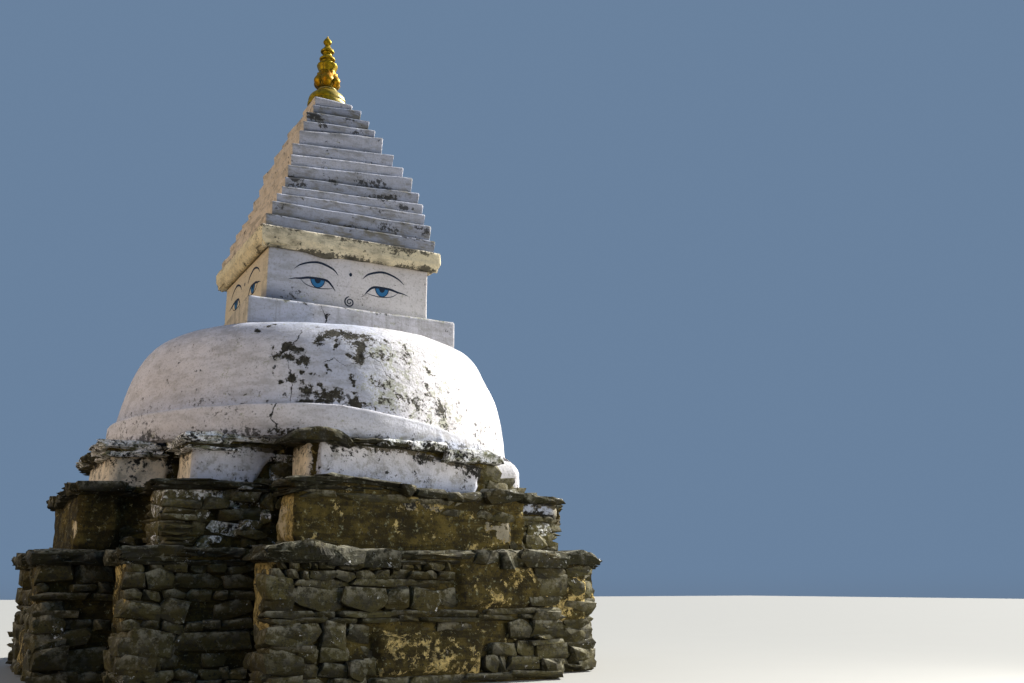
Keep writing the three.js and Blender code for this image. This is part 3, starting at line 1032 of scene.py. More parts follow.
def ledge_slates(tier, side, seed):
    """Two layers of ragged slates along one side of a tier, and the thick blocks that stand in for both in places."""
    sizes = bpy.context.scene.stupa_masonry
    chance = random.Random(sizes.seed * 1000 + seed)
    slates, blocks = [], []
    for course, (low_share, high_share, drawn_in) in enumerate([(0.0, 0.38, 0.02), (0.38, 1.0, 0.0)]):
        drawn_in += 0.05 if (tier, side) == ("middle", "right") else 0.0
        for kind, start, along, out, reach, heading in edge_runs(tier, side, PLANS[tier]["overhang"] - drawn_in):
            if (tier, side) == ("upper", "front") and kind >= RETURN_RIGHT:
                break  # beyond the bay the plaster comes down over the ledge
            at = 0.0
            while at < reach - 0.02:
                block = blocky(tier, side, start[0] + along[0] * at)
                width = chance.uniform(0.3, 0.75) * 0.3 if block else chance.uniform(0.5, 1.5) * sizes.slate_width
                if reach - at - width < 0.12:
                    width = reach - at
                depth = chance.uniform(0.28, 0.36)
                sunk = depth / 2 + abs(chance.gauss(0, 0.016)) - 0.02 * (tier == "upper" and course == 1)
                x, y = start + along * (at + width / 2) - out * sunk
                ends = np.array([start[0] + along[0] * (at + width * share) for share in (0.1, 0.5, 0.9)])
                at += width + SLATE_JOINT
                if (block and course == 0) or any(a < x < b and y < c for a, b, c in SLABBED.get((tier, side), ())):
                    continue
                tops, feet = ledge_line(tier, side, ends)
                low = 0.0 if block else low_share
                height = feet.mean() + (tops.mean() - feet.mean()) * low
                thickness = (tops.mean() - feet.mean()) * (high_share - low)
                thick = thickness * (chance.uniform(0.85, 1.15) if block else chance.uniform(0.72, 1.02))
                slope = math.atan2(tops[2] - tops[0], 0.8 * width) if abs(along[0]) > 0.5 else 0.0
                limed = tier == "upper" and not -0.3 < ends[1] < 0.08 and (course == 1 or ends[1] > 0.08)
                lime = 0.96 if ends[1] < -0.5 else 0.86
                (blocks if block else slates).append({
                    "place": (*turned_to(side, x, y), height + thickness - thick / 2 + chance.uniform(-0.005, 0.001)),
                    "size": (width, depth, thick),
                    "turn": (chance.gauss(0.02, 0.03), chance.gauss(0, 0.014) - slope, heading + chance.gauss(0, 0.02)),
                    "variant": chance.randrange(VARIANTS),
                    "tone": chance.uniform(0.0, SLATE_TONES[tier]),
                    "lime": lime + chance.uniform(-0.08, 0.1) if limed else chance.uniform(-0.2, 0.12),
                })
    return slates, blocks


# Parts of the ledges that large slabs cover: from and to across, and no further back than this.
SLABBED = {
    ("upper", "front"): [(-0.09, 0.8, 0.0)],
    ("middle", "front"): [(0.96, 1.5, 0.0)], ("middle", "right"): [(-1.5, -1.02, 0.0)],
    ("lower", "front"): [(1.2, 1.6, 0.0)], ("lower", "right"): [(-1.6, -1.2, 0.0)],
}
# Each slab: across and front of its outer edge, foot, width, depth, thickness, fullness at its ends, tone, limewash.
SLABS = {
    "bowed_slate_upper": (-0.48, -1.632, 1.402, 0.4, 0.36, 0.078, 0.5, 0.05, 0.0),
    "bowed_slate_lower": (-0.64, -1.958, 0.692, 0.54, 0.36, 0.106, 0.7, 0.1, 0.0),
    "slab_middle_corner": (1.165, -1.395, 1.108, 0.39, 0.4, 0.048, 0.16, 0.35, 0.1),
    "slab_lower_corner": (1.37, -1.56, 0.694, 0.31, 0.4, 0.096, 0.45, 0.1, 0.0),
    "slab_upper_left": (0.0, -1.618, 1.396, 0.22, 0.34, 0.046, 0.12, 0.3, 0.5),
    "slab_upper_middle": (0.222, -1.622, 1.384, 0.25, 0.34, 0.06, 0.1, 0.6, 0.8),
    "slab_upper_right": (0.542, -1.628, 1.326, 0.41, 0.34, 0.084, 0.14, 0.6, 0.74),
}


def bent_slate(name, seed):
    """One large slate in front, thickest in its middle, with a ragged outer edge."""
    across, front, foot, width, depth, thickness, fullness, tone, lime = SLABS[name]
    rings, brow, limed = [], [], []
    edge_to_back = (0.03, 0.1, 0.25, 0.5, 1)
    section = [(y, 0) for y in edge_to_back] + [(y, 1) for y in reversed(edge_to_back)] + [(0, 0.7), (0, 0.3)]
    for x in np.linspace(-0.5, 0.5, 26):
        swell = 0.14 + 0.86 * max(0.0, math.cos(x * math.pi)) ** fullness
        ring = []
        for y, z in section:
            edge = 0.02 * noise.noise(Vector((x * width * 11 + seed, y * 3, z * 6.0))) * (y < 0.2)
            edge += 0.1 * (1 - y) * abs(2 * x) ** 3 * (fullness > 0.5)
            lift = 0.007 * noise.noise(Vector((x * 8, y * 4, seed + z)))
            lift -= 0.03 * float(smooth_step(x, 0.2, 0.5)) * (fullness == 0.5)
            ring.append((across + x * width, front + y * depth + edge, foot + thickness * swell * z + lift))
            # Marks the top front edge, where the finish lays paler dust: dust, and painted light on that edge.
            brow.append(0.9 * (z == 1) * (y < 0.15))
            limed.append(lime + 0.45 * (z - 0.65) * (lime > 0))
        rings.append(ring)
    points, faces = skin(rings)
    fields = {"tone": tone, "lime": [*limed, 0.0, 0.0], "brow": [*brow, 0.0, 0.0]}
    return make_piece(name, points, faces, slate_finish(), "slate", smooth=False, fields=fields)


class STUPA_OT_ledges(bpy.types.Operator):
    """Lay the ragged slates along every side of the three tiers"""

    bl_idname = "stupa.ledges"
    bl_label = "Slate Ledges"

    def execute(self, context):
        seed = 0
        for tier in PLANS:
            for side in SIDES:
                seed += 1
                if (tier, side) == ("upper", "right"):
                    continue
                settings = {
                    "Wear": (0.06, 0.08, 0.12), "Rounding": 0.1, "Unevenness": 0.015, "Bump Size": 0.2,
                    "Seed": 31 + seed, "Finish": slate_finish(),
                }
                slates, blocks = ledge_slates(tier, side, seed)
                lay(f"{tier}_slates_{side}", slates, slate_tree(), settings, "slate", [f"{tier}_ledge_{side}"])
                if blocks:
                    settings |= {"Wear": (0.12, 0.1, 0.14), "Rounding": 0.26}
                    lay(f"{tier}_blocks_{side}", blocks, stone_tree(), settings, "slate")
        for number, name in enumerate(SLABS):
            bent_slate(name, 1.7 + 3.5 * number)
        return {"FINISHED"}


# Tiers: a core with its coat of mud or plaster, and the stones that show through


def patch(u, z, box, seed):
    """How far inside a ragged box each place lies, in metres. Box: left, right, foot, top and the right edge's lean."""
    left, right, foot, top, lean = box
    right = right + lean * (z - foot)
    inside = np.minimum(np.minimum(u - left, right - u), np.minimum(z - foot, top - z))
    points = np.column_stack([u, z, np.full(len(u), seed)])
    return inside + 0.02 * ripple(points, 0.11) + 0.01 * ripple(points, 0.035)


# Patches of coat on the tiers. Each: edge, left, right, foot, top, lean, whitewash, ochre.
PATCHES = {
    "upper": {
        "front": [
            (BAY, -0.49, 0.588, 1.08, 1.44, 0.29, 1.0, 0.0),
            (CORNER_LEFT, -1.2, -0.778, 1.08, 1.44, 0.54, 1.0, 0.0),
            (CORNER_LEFT, -0.9, -0.612, 1.3, 1.39, 0.0, 1.0, 0.0),
            (CORNER_LEFT, -0.6, -0.5, 1.35, 1.44, 0.0, 0.6, 0.6),
            (RETURN_LEFT, -1.6, -1.14, 1.08, 1.44, 0.0, 0.9, 0.4),
            (RETURN_RIGHT, -1.6, -1.16, 1.08, 1.44, 0.0, 0.85, 0.4),
            (CORNER_RIGHT, 0.7, 1.2, 1.08, 1.44, 0.0, 1.0, 0.0),
        ],
    },
    "middle": {
        "front": [
            (BAY, -0.75, 0.76, 0.66, 1.2, 0.0, 0.0, 0.12),
            (BAY, 0.7, 0.9, 0.955, 1.2, 0.0, 0.0, 0.12),
            (BAY, 0.575, 0.762, 0.88, 0.94, 0.0, 0.72, 0.5),
            (BAY, 0.64, 0.762, 0.825, 0.9, 0.0, 0.72, 0.5),
            (BAY, 0.0, 0.29, 1.0, 1.09, 0.0, 0.42, 0.3),
            (BAY, 0.46, 0.64, 0.69, 0.79, 0.0, 0.3, 0.3),
            (RETURN_LEFT, -1.8, -1.34, 0.8, 1.1, -0.3, 0.44, 0.95),
            (CORNER_RIGHT, 0.92, 1.4, 1.02, 1.12, 0.0, 0.95, 0.3),
            (RETURN_RIGHT, -1.8, -1.45, 0.75, 1.12, 0.0, 0.0, 0.05),
        ],
        "right": [
            (BAY, -0.8, -0.2, 0.99, 1.12, 0.0, 0.8, 0.2),
            (BAY, -0.1, 0.85, 0.7, 1.12, 0.0, 0.0, 0.3),
            (CORNER_LEFT, -1.4, -0.95, 1.0, 1.12, 0.0, 0.7, 0.3),
            (CORNER_RIGHT, 0.8, 1.4, 0.7, 1.12, 0.0, 0.0, 0.3),
        ],
    },
    "lower": {
        "front": [
            (BAY, 0.3, 0.95, 0.42, 0.7, 0.0, 0.0, 0.25),
            (BAY, -0.2, 0.45, 0.05, 0.3, 0.3, 0.0, 0.35),
            (RETURN_LEFT, -2.0, -1.5, 0.3, 0.7, 0.0, 0.0, 0.8),
            (CORNER_RIGHT, 1.0, 1.55, 0.3, 0.7, 0.0, 0.0, 0.4),
        ],
        "right": [
            (BAY, -0.95, -0.2, 0.38, 0.7, 0.4, 0.0, 0.5),
            (BAY, 0.3, 0.8, 0.08, 0.42, 0.0, 0.0, 0.4),
            (CORNER_RIGHT, 0.95, 1.55, 0.2, 0.7, 0.0, 0.0, 0.3),
        ],
    },
}


def coats(tier, side):
    """The patches of one side. The hidden sides repeat the front."""
    return PATCHES[tier].get(side, PATCHES[tier]["front"])


def tier_core(tier, spacing, coat_material, seed):
    """The core of a tier as one closed skin. Its coat stands proud of the stones or has fallen back behind them."""
    sizes = bpy.context.scene.stupa_masonry
    plan = PLANS[tier]
    foot, top, _ = tier_heights(tier)
    places, ways, edges = walk(tier_outline(plan), spacing, 0.052)
    count = len(places)
    side_numbers, kinds = edges // 5, edges % 5
    local = np.array([turned_to(SIDES[-number], *place) for number, place in zip(side_numbers, places)])
    u = np.where((kinds == RETURN_LEFT) | (kinds == RETURN_RIGHT), local[:, 1], local[:, 0])
    hidden = np.zeros(count, dtype=bool)
    if tier == "upper":
        hidden = (side_numbers == 1) | ((side_numbers == 0) & (kinds >= RETURN_RIGHT))
    tops, feet = np.empty(count), np.empty(count)
    for number, side in enumerate(SIDES):
        chosen = side_numbers == number
        tops[chosen], feet[chosen] = ledge_line(tier, side, local[chosen, 0])
    feet = np.where(hidden, 1.28, feet)
    tops = np.where(hidden, 1.3, tops)

    wall = list(np.linspace(0, 1, max(8, int((top - foot) / spacing) + 1)))
    rings, shown = [], {"wash": [], "ochre": [], "cool": [], "warm": [], "drip": [], "mould": [], "stain": []}
    for share, bed in [(share, None) for share in wall] + [(1.0, bed) for bed in (0.3, 0.6, 0.8)]:
        heights_now = foot + (feet - foot) * share if bed is None else feet + (tops - feet) * bed
        inside = np.full(count, -0.05)
        wash, ochre = np.zeros(count), np.zeros(count)
        for side_number, side in enumerate(SIDES):
            for row in coats(tier, side):
                kind, box, white, yellow = row[0], row[1:6], row[6], row[7]
                chosen = (side_numbers == side_number) & (kinds == kind)
                deep = patch(u[chosen], heights_now[chosen], box, seed + side_number * 3.1 + kind)
                present = smooth_step(deep, -0.006, 0.008)
                inside[chosen] = np.maximum(inside[chosen], deep)
                wash[chosen] = wash[chosen] * (1 - present) + white * present
                ochre[chosen] = np.maximum(ochre[chosen] * (1 - present), yellow * present)
        if bed is not None:
            wash = wash * 0
        points = np.column_stack([places, heights_now])
        coat = smooth_step(inside, -0.008, 0.032)
        rough = 0.01 * ripple(points, 0.16, seed) + 0.006 * ripple(points, 0.06, seed + 2)
        if tier == "upper":
            rough += 0.016 * ripple(points * [1, 3, 0.8], 0.16, seed + 6) * (kinds == RETURN_LEFT)
        muddy = np.where(wash > 0.5, 0.0, 0.02 * ripple(points * [1, 1, 2.0], 0.2, seed + 4))
        offset = coat * (sizes.coat + muddy) - (1 - coat) * sizes.recess + rough * np.where(wash > 0.5, 0.45, 1.0)
        if bed is not None:
            offset = plan["overhang"] - 0.055 + rough - (0.05 if bed == 0.8 else 0.0)
        offset = np.where(hidden, -0.07, offset)
        rings.append(level(places, ways, offset, heights_now))
        shown["wash"].append(wash * smooth_step(inside, -0.015, 0.02))
        shown["ochre"].append(ochre)
        # Painted bluish shade on the front's right corner, or over the upper tier's walls but its right side, most low
        # down, and never on the left returns. Painted warm light on the left returns and the left side.
        cool = 0.8 * (edges == CORNER_RIGHT)
        if tier == "upper":
            cool = 0.75 * smooth_step(0.6 - share, -0.3, 0.5) * (side_numbers != 1)
        shown["cool"].append(cool * (kinds != RETURN_LEFT))
        shown["warm"].append(np.where((kinds == RETURN_LEFT) | (side_numbers == 3), 0.55, 0.0))
        shown["drip"].append(np.where(kinds == RETURN_LEFT, 0.35, 0.0) * wash)
        near_edge = smooth_step(0.035 - np.abs(inside), 0.0, 0.035)
        cluster = np.exp(-(((u - 0.19) / 0.05) ** 2) - ((heights_now - 1.335) / 0.045) ** 2) * (edges == BAY)
        under_ledge = smooth_step(share, 0.55, 0.95) if bed is None else 0.0
        shown["mould"].append(0.45 + 0.5 * near_edge + 0.4 * cluster + 0.16 * under_ledge)
        shown["stain"].append(np.maximum(0.38 * near_edge, 0.62 * smooth_step(share, 0.84, 0.98)))
    under = [level(places, ways, -0.03, foot, scale) for scale in (0.3, 0.75)]
    over = [rings[-1] * [scale, scale, 1.0] for scale in (0.93, 0.8, 0.4)]
    rings = under + rings + over
    for key, rows in shown.items():
        flat = np.concatenate([rows[0]] * len(under) + rows + [rows[-1]] * len(over))
        shown[key] = np.concatenate([flat, [rows[0].mean(), rows[-1].mean()]])
    points, faces = skin(rings)
    slot = "tier_whitewash" if tier == "upper" else "rubble_masonry"
    return make_piece(f"{tier}_core", points, faces, coat_material, slot, [f"{tier}_tier"], fields=shown)


def build_tier(tier, spacing, mud_factor, inset, spread, seed):
    """Builds a tier's core and its stones: how far these stand in, and how unevenly."""
    colours = bpy.context.scene.stupa_colours
    sizes = bpy.context.scene.stupa_masonry
    # Painted light: the upper tier's whitewash is made 18 % brighter than the box's.
    wash = tint(colours.whitewash, 1.18) if tier == "upper" else tint(colours.cream_wash, 0.45)
    tier_core(tier, spacing, tier_coat(f"{tier}_coat", tint(colours.mud, mud_factor), wash), seed)
    settings = {
        "Wear": (0.17, 0.12, 0.19), "Rounding": 0.14, "Unevenness": sizes.unevenness, "Bump Size": 0.12,
        "Seed": 5 + seed, "Finish": masonry_stone("wall_stone", colours.stone),
    }
    lay(f"{tier}_stones", wall_stones(tier, inset, spread, seed), stone_tree(), settings, "rubble_masonry")


class STUPA_OT_lower_tier(bpy.types.Operator):
    """Build the lower tier: dry rubble with remains of mud plaster"""

    bl_idname = "stupa.lower_tier"
    bl_label = "Lower Tier"

    def execute(self, context):
        build_tier("lower", spacing=0.024, mud_factor=0.85, inset=0.004, spread=0.014, seed=11)
        return {"FINISHED"}


class STUPA_OT_middle_tier(bpy.types.Operator):
    """Build the middle tier: brown mud plaster over rubble"""

    bl_idname = "stupa.middle_tier"
    bl_label = "Middle Tier"

    def execute(self, context):
        build_tier("middle", spacing=0.02, mud_factor=1.0, inset=0.01, spread=0.011, seed=23)
        return {"FINISHED"}


class STUPA_OT_upper_tier(bpy.types.Operator):
    """Build the upper tier: white plaster panels, with bare rubble at the broken corner"""

    bl_idname = "stupa.upper_tier"
    bl_label = "Upper Tier"

    def execute(self, context):
        build_tier("upper", spacing=0.015, mud_factor=0.95, inset=0.018, spread=0.01, seed=37)
        return {"FINISHED"}


class STUPA_OT_shoulder(bpy.types.Operator):
    """Build the plaster shoulder that runs up over the slates at the upper tier's right"""

    bl_idname = "stupa.shoulder"
    bl_label = "Plaster Shoulder"

    def execute(self, context):
        outline = [
            (0.76, -1.148), (1.148, -1.148), (1.135, -0.62), (1.53, -0.62), (1.53, 0.62), (1.135, 0.62),
            (1.135, 1.135), (0.8, 1.135),
        ]
        places, ways = rounded_walk(outline, 0.025, [0.02, 0.07, 0.1, 0.3, 0.2, 0.1, 0.05, 0.02], bends=8)
        rows = [
            (-0.1, 1.11, 0.9), (-0.03, 1.11), (0.0, 1.13), (0.002, 1.2), (0.002, 1.27), (0.0, 1.335), (-0.008, 1.362),
            (-0.026, 1.39), (-0.052, 1.415), (-0.086, 1.436), (-0.13, 1.456), (-0.18, 1.475), (-0.24, 1.49),
            (-0.24, 1.492, 0.8),
        ]
        middle = (1.0, 0.0)
        rings = [level(places, ways, row[0], row[1], row[2] if len(row) > 2 else 1.0, middle) for row in rows]
        points, faces = skin(rings)
        out = outward(ways, len(rings))
        bumps = 0.01 * ripple(points, 0.28, 81) + 0.004 * ripple(points, 0.1, 82)
        low = smooth_step(1.24 - points[:, 2], 0, 0.08)
        fields = {
            "soil": 0.15 + 0.6 * low, "mould": 0.3 + 0.25 * low, "rough": 0.4,
            "peel": 0.05 + 0.3 * low, "thin": 0.18,
        }
        make_piece("upper_shoulder", points + out * bumps[:, None], faces, dome_wash(), "tier_whitewash",
                   ["upper_ledge_right"], fields=fields)
        return {"FINISHED"}


# Dome and its band

# The dome's outline, as in the part's source: where its curve starts, where it shows, its crown, and the curve.
DOME_START, DOME_FOOT, DOME_CROWN = 1.35, 1.45, 2.303
CROWN_RADIUS, SWELL, CLIMB_POWER, SHOULDER_POWER = 0.539, 0.927, 1.378, 1 / 6.67


def dome_radius(height):
    """The dome's radius at a height."""
    climb = np.clip((np.asarray(height, dtype=float) - DOME_START) / (DOME_CROWN - DOME_START), 0, 1)
    return CROWN_RADIUS + SWELL * (1 - climb**CLIMB_POWER) ** SHOULDER_POWER


def wrapped(turn):
    """A turn in degrees, made to lie within half a turn of the front."""
    return (np.asarray(turn, dtype=float) + 180) % 360 - 180


def turns_of(points):
    """How far each point is turned from the front towards the right, in degrees."""
    return np.degrees(np.arctan2(points[:, 0], -points[:, 1]))


def dome_inset(turn, height):
    """How far the dome stands in. Its right does a little, most at the shoulder. Turn is in degrees."""
    near = smooth_step(80 - np.abs(wrapped(np.asarray(turn, dtype=float) - 70)), 0, 75)
    return near * (0.022 + 0.02 * np.exp(-(((height - 2.06) / 0.12) ** 2)))


def on_dome(turn, height):
    radius = float(dome_radius(height) - dome_inset(turn, height))
    return np.array([radius * math.sin(math.radians(turn)), -radius * math.cos(math.radians(turn)), height])


# Where the wash has peeled off the dome: each run from one turn and height to another, and how wide.
PEELED = [
    (-18.9, 2.096, -16.6, 2.143, 0.042), (-16.6, 2.143, -12.5, 2.184, 0.058), (-13.4, 2.119, -13.8, 2.076, 0.036),
    (-10.1, 2.148, -5.1, 2.15, 0.056), (-8.3, 2.093, -6.3, 2.087, 0.05), (-7.0, 2.054, -7.1, 1.992, 0.042),
    (-5.2, 2.132, -3.8, 2.145, 0.03), (-29.8, 1.982, -26.1, 1.979, 0.033), (-28.2, 1.986, -27.6, 2.049, 0.037),
    (-27.5, 2.068, -26.5, 2.056, 0.024), (-25.4, 2.035, -22.6, 2.037, 0.024), (-22.4, 1.981, -21.5, 1.942, 0.027),
    (-23.5, 1.944, -23.3, 1.925, 0.018), (-31.0, 2.047, -30.9, 2.039, 0.018), (-29.7, 1.906, -28.9, 1.916, 0.014),
    (-37.5, 2.175, -36.8, 2.174, 0.024), (-34.7, 2.212, -34.1, 2.212, 0.016), (-32.8, 2.233, -32.4, 2.233, 0.016),
    (-25.1, 1.833, -24.6, 1.821, 0.026), (-16.4, 1.931, -15.2, 1.894, 0.016), (-16.2, 1.87, -16.0, 1.87, 0.014),
    (-9.6, 1.864, -9.3, 1.853, 0.021), (-9.3, 1.815, -8.9, 1.805, 0.024), (-22.9, 1.864, -22.4, 1.864, 0.016),
    (-22.3, 1.815, -22.0, 1.808, 0.016), (-17.4, 1.789, -17.0, 1.778, 0.021), (-27.1, 1.724, -26.6, 1.717, 0.019),
    (-27.8, 1.806, -27.3, 1.802, 0.014), (-20.5, 1.756, -18.9, 1.727, 0.04), (-18.9, 1.721, -13.3, 1.731, 0.037),
    (-16.7, 1.753, -16.2, 1.723, 0.028), (-22.2, 1.675, -14.7, 1.687, 0.018), (-8.7, 1.74, -7.9, 1.685, 0.046),
    (-9.8, 1.688, -6.2, 1.682, 0.022), (-10.4, 2.006, -6.7, 1.959, 0.017),
]
# Thinner, paler wear on the dome's right.
THINNED = [
    (-4.4, 1.855, -4.1, 1.841, 0.045), (-2.7, 1.807, 1.0, 1.826, 0.065), (-0.9, 1.76, 1.5, 1.789, 0.065),
    (-1.9, 1.706, 1.4, 1.728, 0.06), (-4.3, 1.668, -3.3, 1.658, 0.035), (7.5, 1.714, 8.4, 1.705, 0.05),
    (8.4, 1.675, 9.1, 1.657, 0.035), (15.2, 1.771, 17.6, 1.711, 0.065), (12.5, 1.844, 13.9, 1.837, 0.045),
    (16.4, 1.873, 17.1, 1.86, 0.035), (17.1, 1.671, 17.8, 1.654, 0.035), (-2.3, 2.065, 5.9, 2.055, 0.08),
    (7.9, 2.112, 8.3, 2.101, 0.035), (13.6, 1.979, 14.0, 1.969, 0.035), (17.1, 1.605, 18.5, 1.59, 0.03),
]
# Cracks down and across the dome, and down the band: turns and heights along each.
CRACK_DOWN = [(-23.6, 2.17), (-25.1, 2.081), (-26.4, 1.959), (-25.6, 1.892), (-24.9, 1.825), (-24.5, 1.677)]
CRACK_ACROSS = [
    (-16.4, 1.943), (-14.2, 1.979), (-12.7, 1.948), (-10.5, 1.936), (-7.4, 1.958), (-4.8, 2.008), (-3.0, 2.002),
    (-1.1, 1.973), (-0.2, 1.899), (1.8, 1.867),
]
CRACK_BAND = [(-28.3, 1.465), (-27.4, 1.482), (-27.2, 1.522), (-28.7, 1.556), (-28.6, 1.594), (-27.6, 1.65)]

# The band's top edge and its radius, by turn from the front towards the right.
BAND_TOPS = [
    (-180, 1.61), (-100, 1.63), (-40.6, 1.644), (-23.4, 1.66), (-12.8, 1.655), (-4.9, 1.635), (-0.5, 1.618),
    (11, 1.582), (19.3, 1.545), (40, 1.535), (90, 1.545), (140, 1.58), (180, 1.61),
]
BAND_RADII = [
    (-180, 1.48), (-60, 1.492), (-20, 1.497), (0, 1.492), (25, 1.466), (58, 1.424), (110, 1.43), (180, 1.48),
]
BAND_FEET = [(-180, 1.452), (13, 1.452), (18, 1.398), (60, 1.395), (110, 1.395), (140, 1.452), (180, 1.452)]


def by_turn(table, turns):
    """Values of a table at turns in degrees."""
    return np.interp(wrapped(turns), *np.array(table).T)


def signed_crack(turns, heights, line, down, radius=1.42, fade=0.03):
    """Distance from a crack, with its sign, and how much of it reaches here."""
    line = sorted(line, key=lambda spot: spot[1] if down else spot[0])
    a, z = np.array(line).T
    if down:
        offset = np.radians(turns - np.interp(heights, z, a)) * radius
        reach = smooth_step(heights, z[0] - fade, z[0]) * smooth_step(-heights, -z[-1] - fade, -z[-1])
    else:
        offset = heights - np.interp(turns, a, z)
        reach = smooth_step(turns, a[0] - 1, a[0]) * smooth_step(-turns, -a[-1] - 1, -a[-1])
    return offset, reach * (np.abs(offset) < 0.12)


class STUPA_OT_dome(bpy.types.Operator):
    """Build the broad-shouldered dome, with its peeled and cracked limewash"""

    bl_idname = "stupa.dome"
    bl_label = "Dome"

    def execute(self, context):
        turns = np.linspace(-180, 180, 560, endpoint=False)
        rad = np.radians(turns)
        fine = DOME_CROWN - (DOME_CROWN - DOME_FOOT) * np.linspace(1, 0, 4000) ** 3
        radii = dome_radius(fine)
        run = np.concatenate([[0], np.cumsum(np.hypot(np.diff(radii), np.diff(fine)))])
        heights = np.interp(np.linspace(0, run[-1], 104), run, fine)
        rings = [round_ring(rad, dome_radius(height) - dome_inset(turns, height), height) for height in heights]
        for scale in (0.7, 0.35):
            rings.append(rings[len(heights) - 1] * np.array([scale, scale, 1.0]))
        points, faces = skin(rings)
        out = points / np.maximum(np.linalg.norm(points * [1, 1, 0], axis=1, keepdims=True), 1e-6)
        lift = smooth_step(points[:, 2], 2.0, 2.3)
        out = out * [1, 1, 0] * (1 - lift)[:, None] + lift[:, None] * [0, 0, 1]
        peel = capsule_field(points, [(*row[:4], row[4] * 1.45) for row in PEELED], on_dome)
        all_turns = turns_of(points)
        thin = capsule_field(points, [(*row[:4], row[4] * 1.5) for row in THINNED], on_dome)
        weather = smooth_step(24 - np.abs(all_turns - 10), 0, 20) * smooth_step(2.2 - points[:, 2], 0, 0.3)
        other = 0.5 + 0.5 * ripple(points, 0.34, 5)
        away = smooth_step(np.abs(wrapped(all_turns + 5)), 95, 125)
        hidden_peel = away * smooth_step(ripple(points, 0.3, 9) + 0.25 * ripple(points, 0.1, 3), 0.28, 0.62) * 0.9
        specks = 0.03 + 0.07 * other + 0.08 * smooth_step(1.85 - points[:, 2], 0, 0.2)
        dark = np.maximum(np.where(peel > 0, 0.14 + 0.66 * peel, 0), np.where(thin > 0, 0.14 + 0.42 * thin, 0))
        field = np.maximum.reduce([dark, specks + 0.08 * weather, hidden_peel])
        thinned = np.maximum(np.where(thin > 0, 0.2 + 0.4 * thin, 0), 0.1 * other + 0.24 * weather)
        bumps = 0.009 * ripple(points, 0.42, 1) + 0.0035 * ripple(points, 0.15, 2) + 0.0012 * ripple(points, 0.06, 4)
        sunk = 0.003 * smooth_step(field, 0.5, 0.7)
        points = points + out * (bumps - sunk)[:, None]
        down, down_reach = signed_crack(all_turns, points[:, 2], CRACK_DOWN, True)
        across, across_reach = signed_crack(all_turns, points[:, 2], CRACK_ACROSS, False)
        nearer = np.abs(down) + 10 * (down_reach < 0.01) < np.abs(across) + 10 * (across_reach < 0.01)
        high_or_low = 0.75 * smooth_step(np.abs(points[:, 2] - 1.95), 0.1, 0.36)
        fields = {
            "peel": field, "thin": thinned,
            "crack": np.where(nearer, down, across),
            "crack_reach": np.where(nearer, down_reach, across_reach),
            # Painted shade and light: a bluish tint left of the front, strongest high and low on the dome, and a warm
            # tint further round to the left.
            "cool": smooth_step(-all_turns, -8, 6) * np.maximum(high_or_low, 0.5 * smooth_step(all_turns, -34, -14)),
            "warm": 0.2 * smooth_step(-all_turns - 25, 0, 40),
            "rough": 0.25 + 0.9 * smooth_step(30 - np.abs(all_turns - 12), 0, 22),
            "mould": 0.3 + 0.2 * smooth_step(1.8 - points[:, 2], 0, 0.15) + 0.1 * (peel > 0),
            "soil": 0.05 + 0.2 * other + 0.15 * (peel > 0),
        }
        make_piece("dome_plaster", points, faces, dome_wash(), "whitewash", ["dome"], fields=fields)
        return {"FINISHED"}


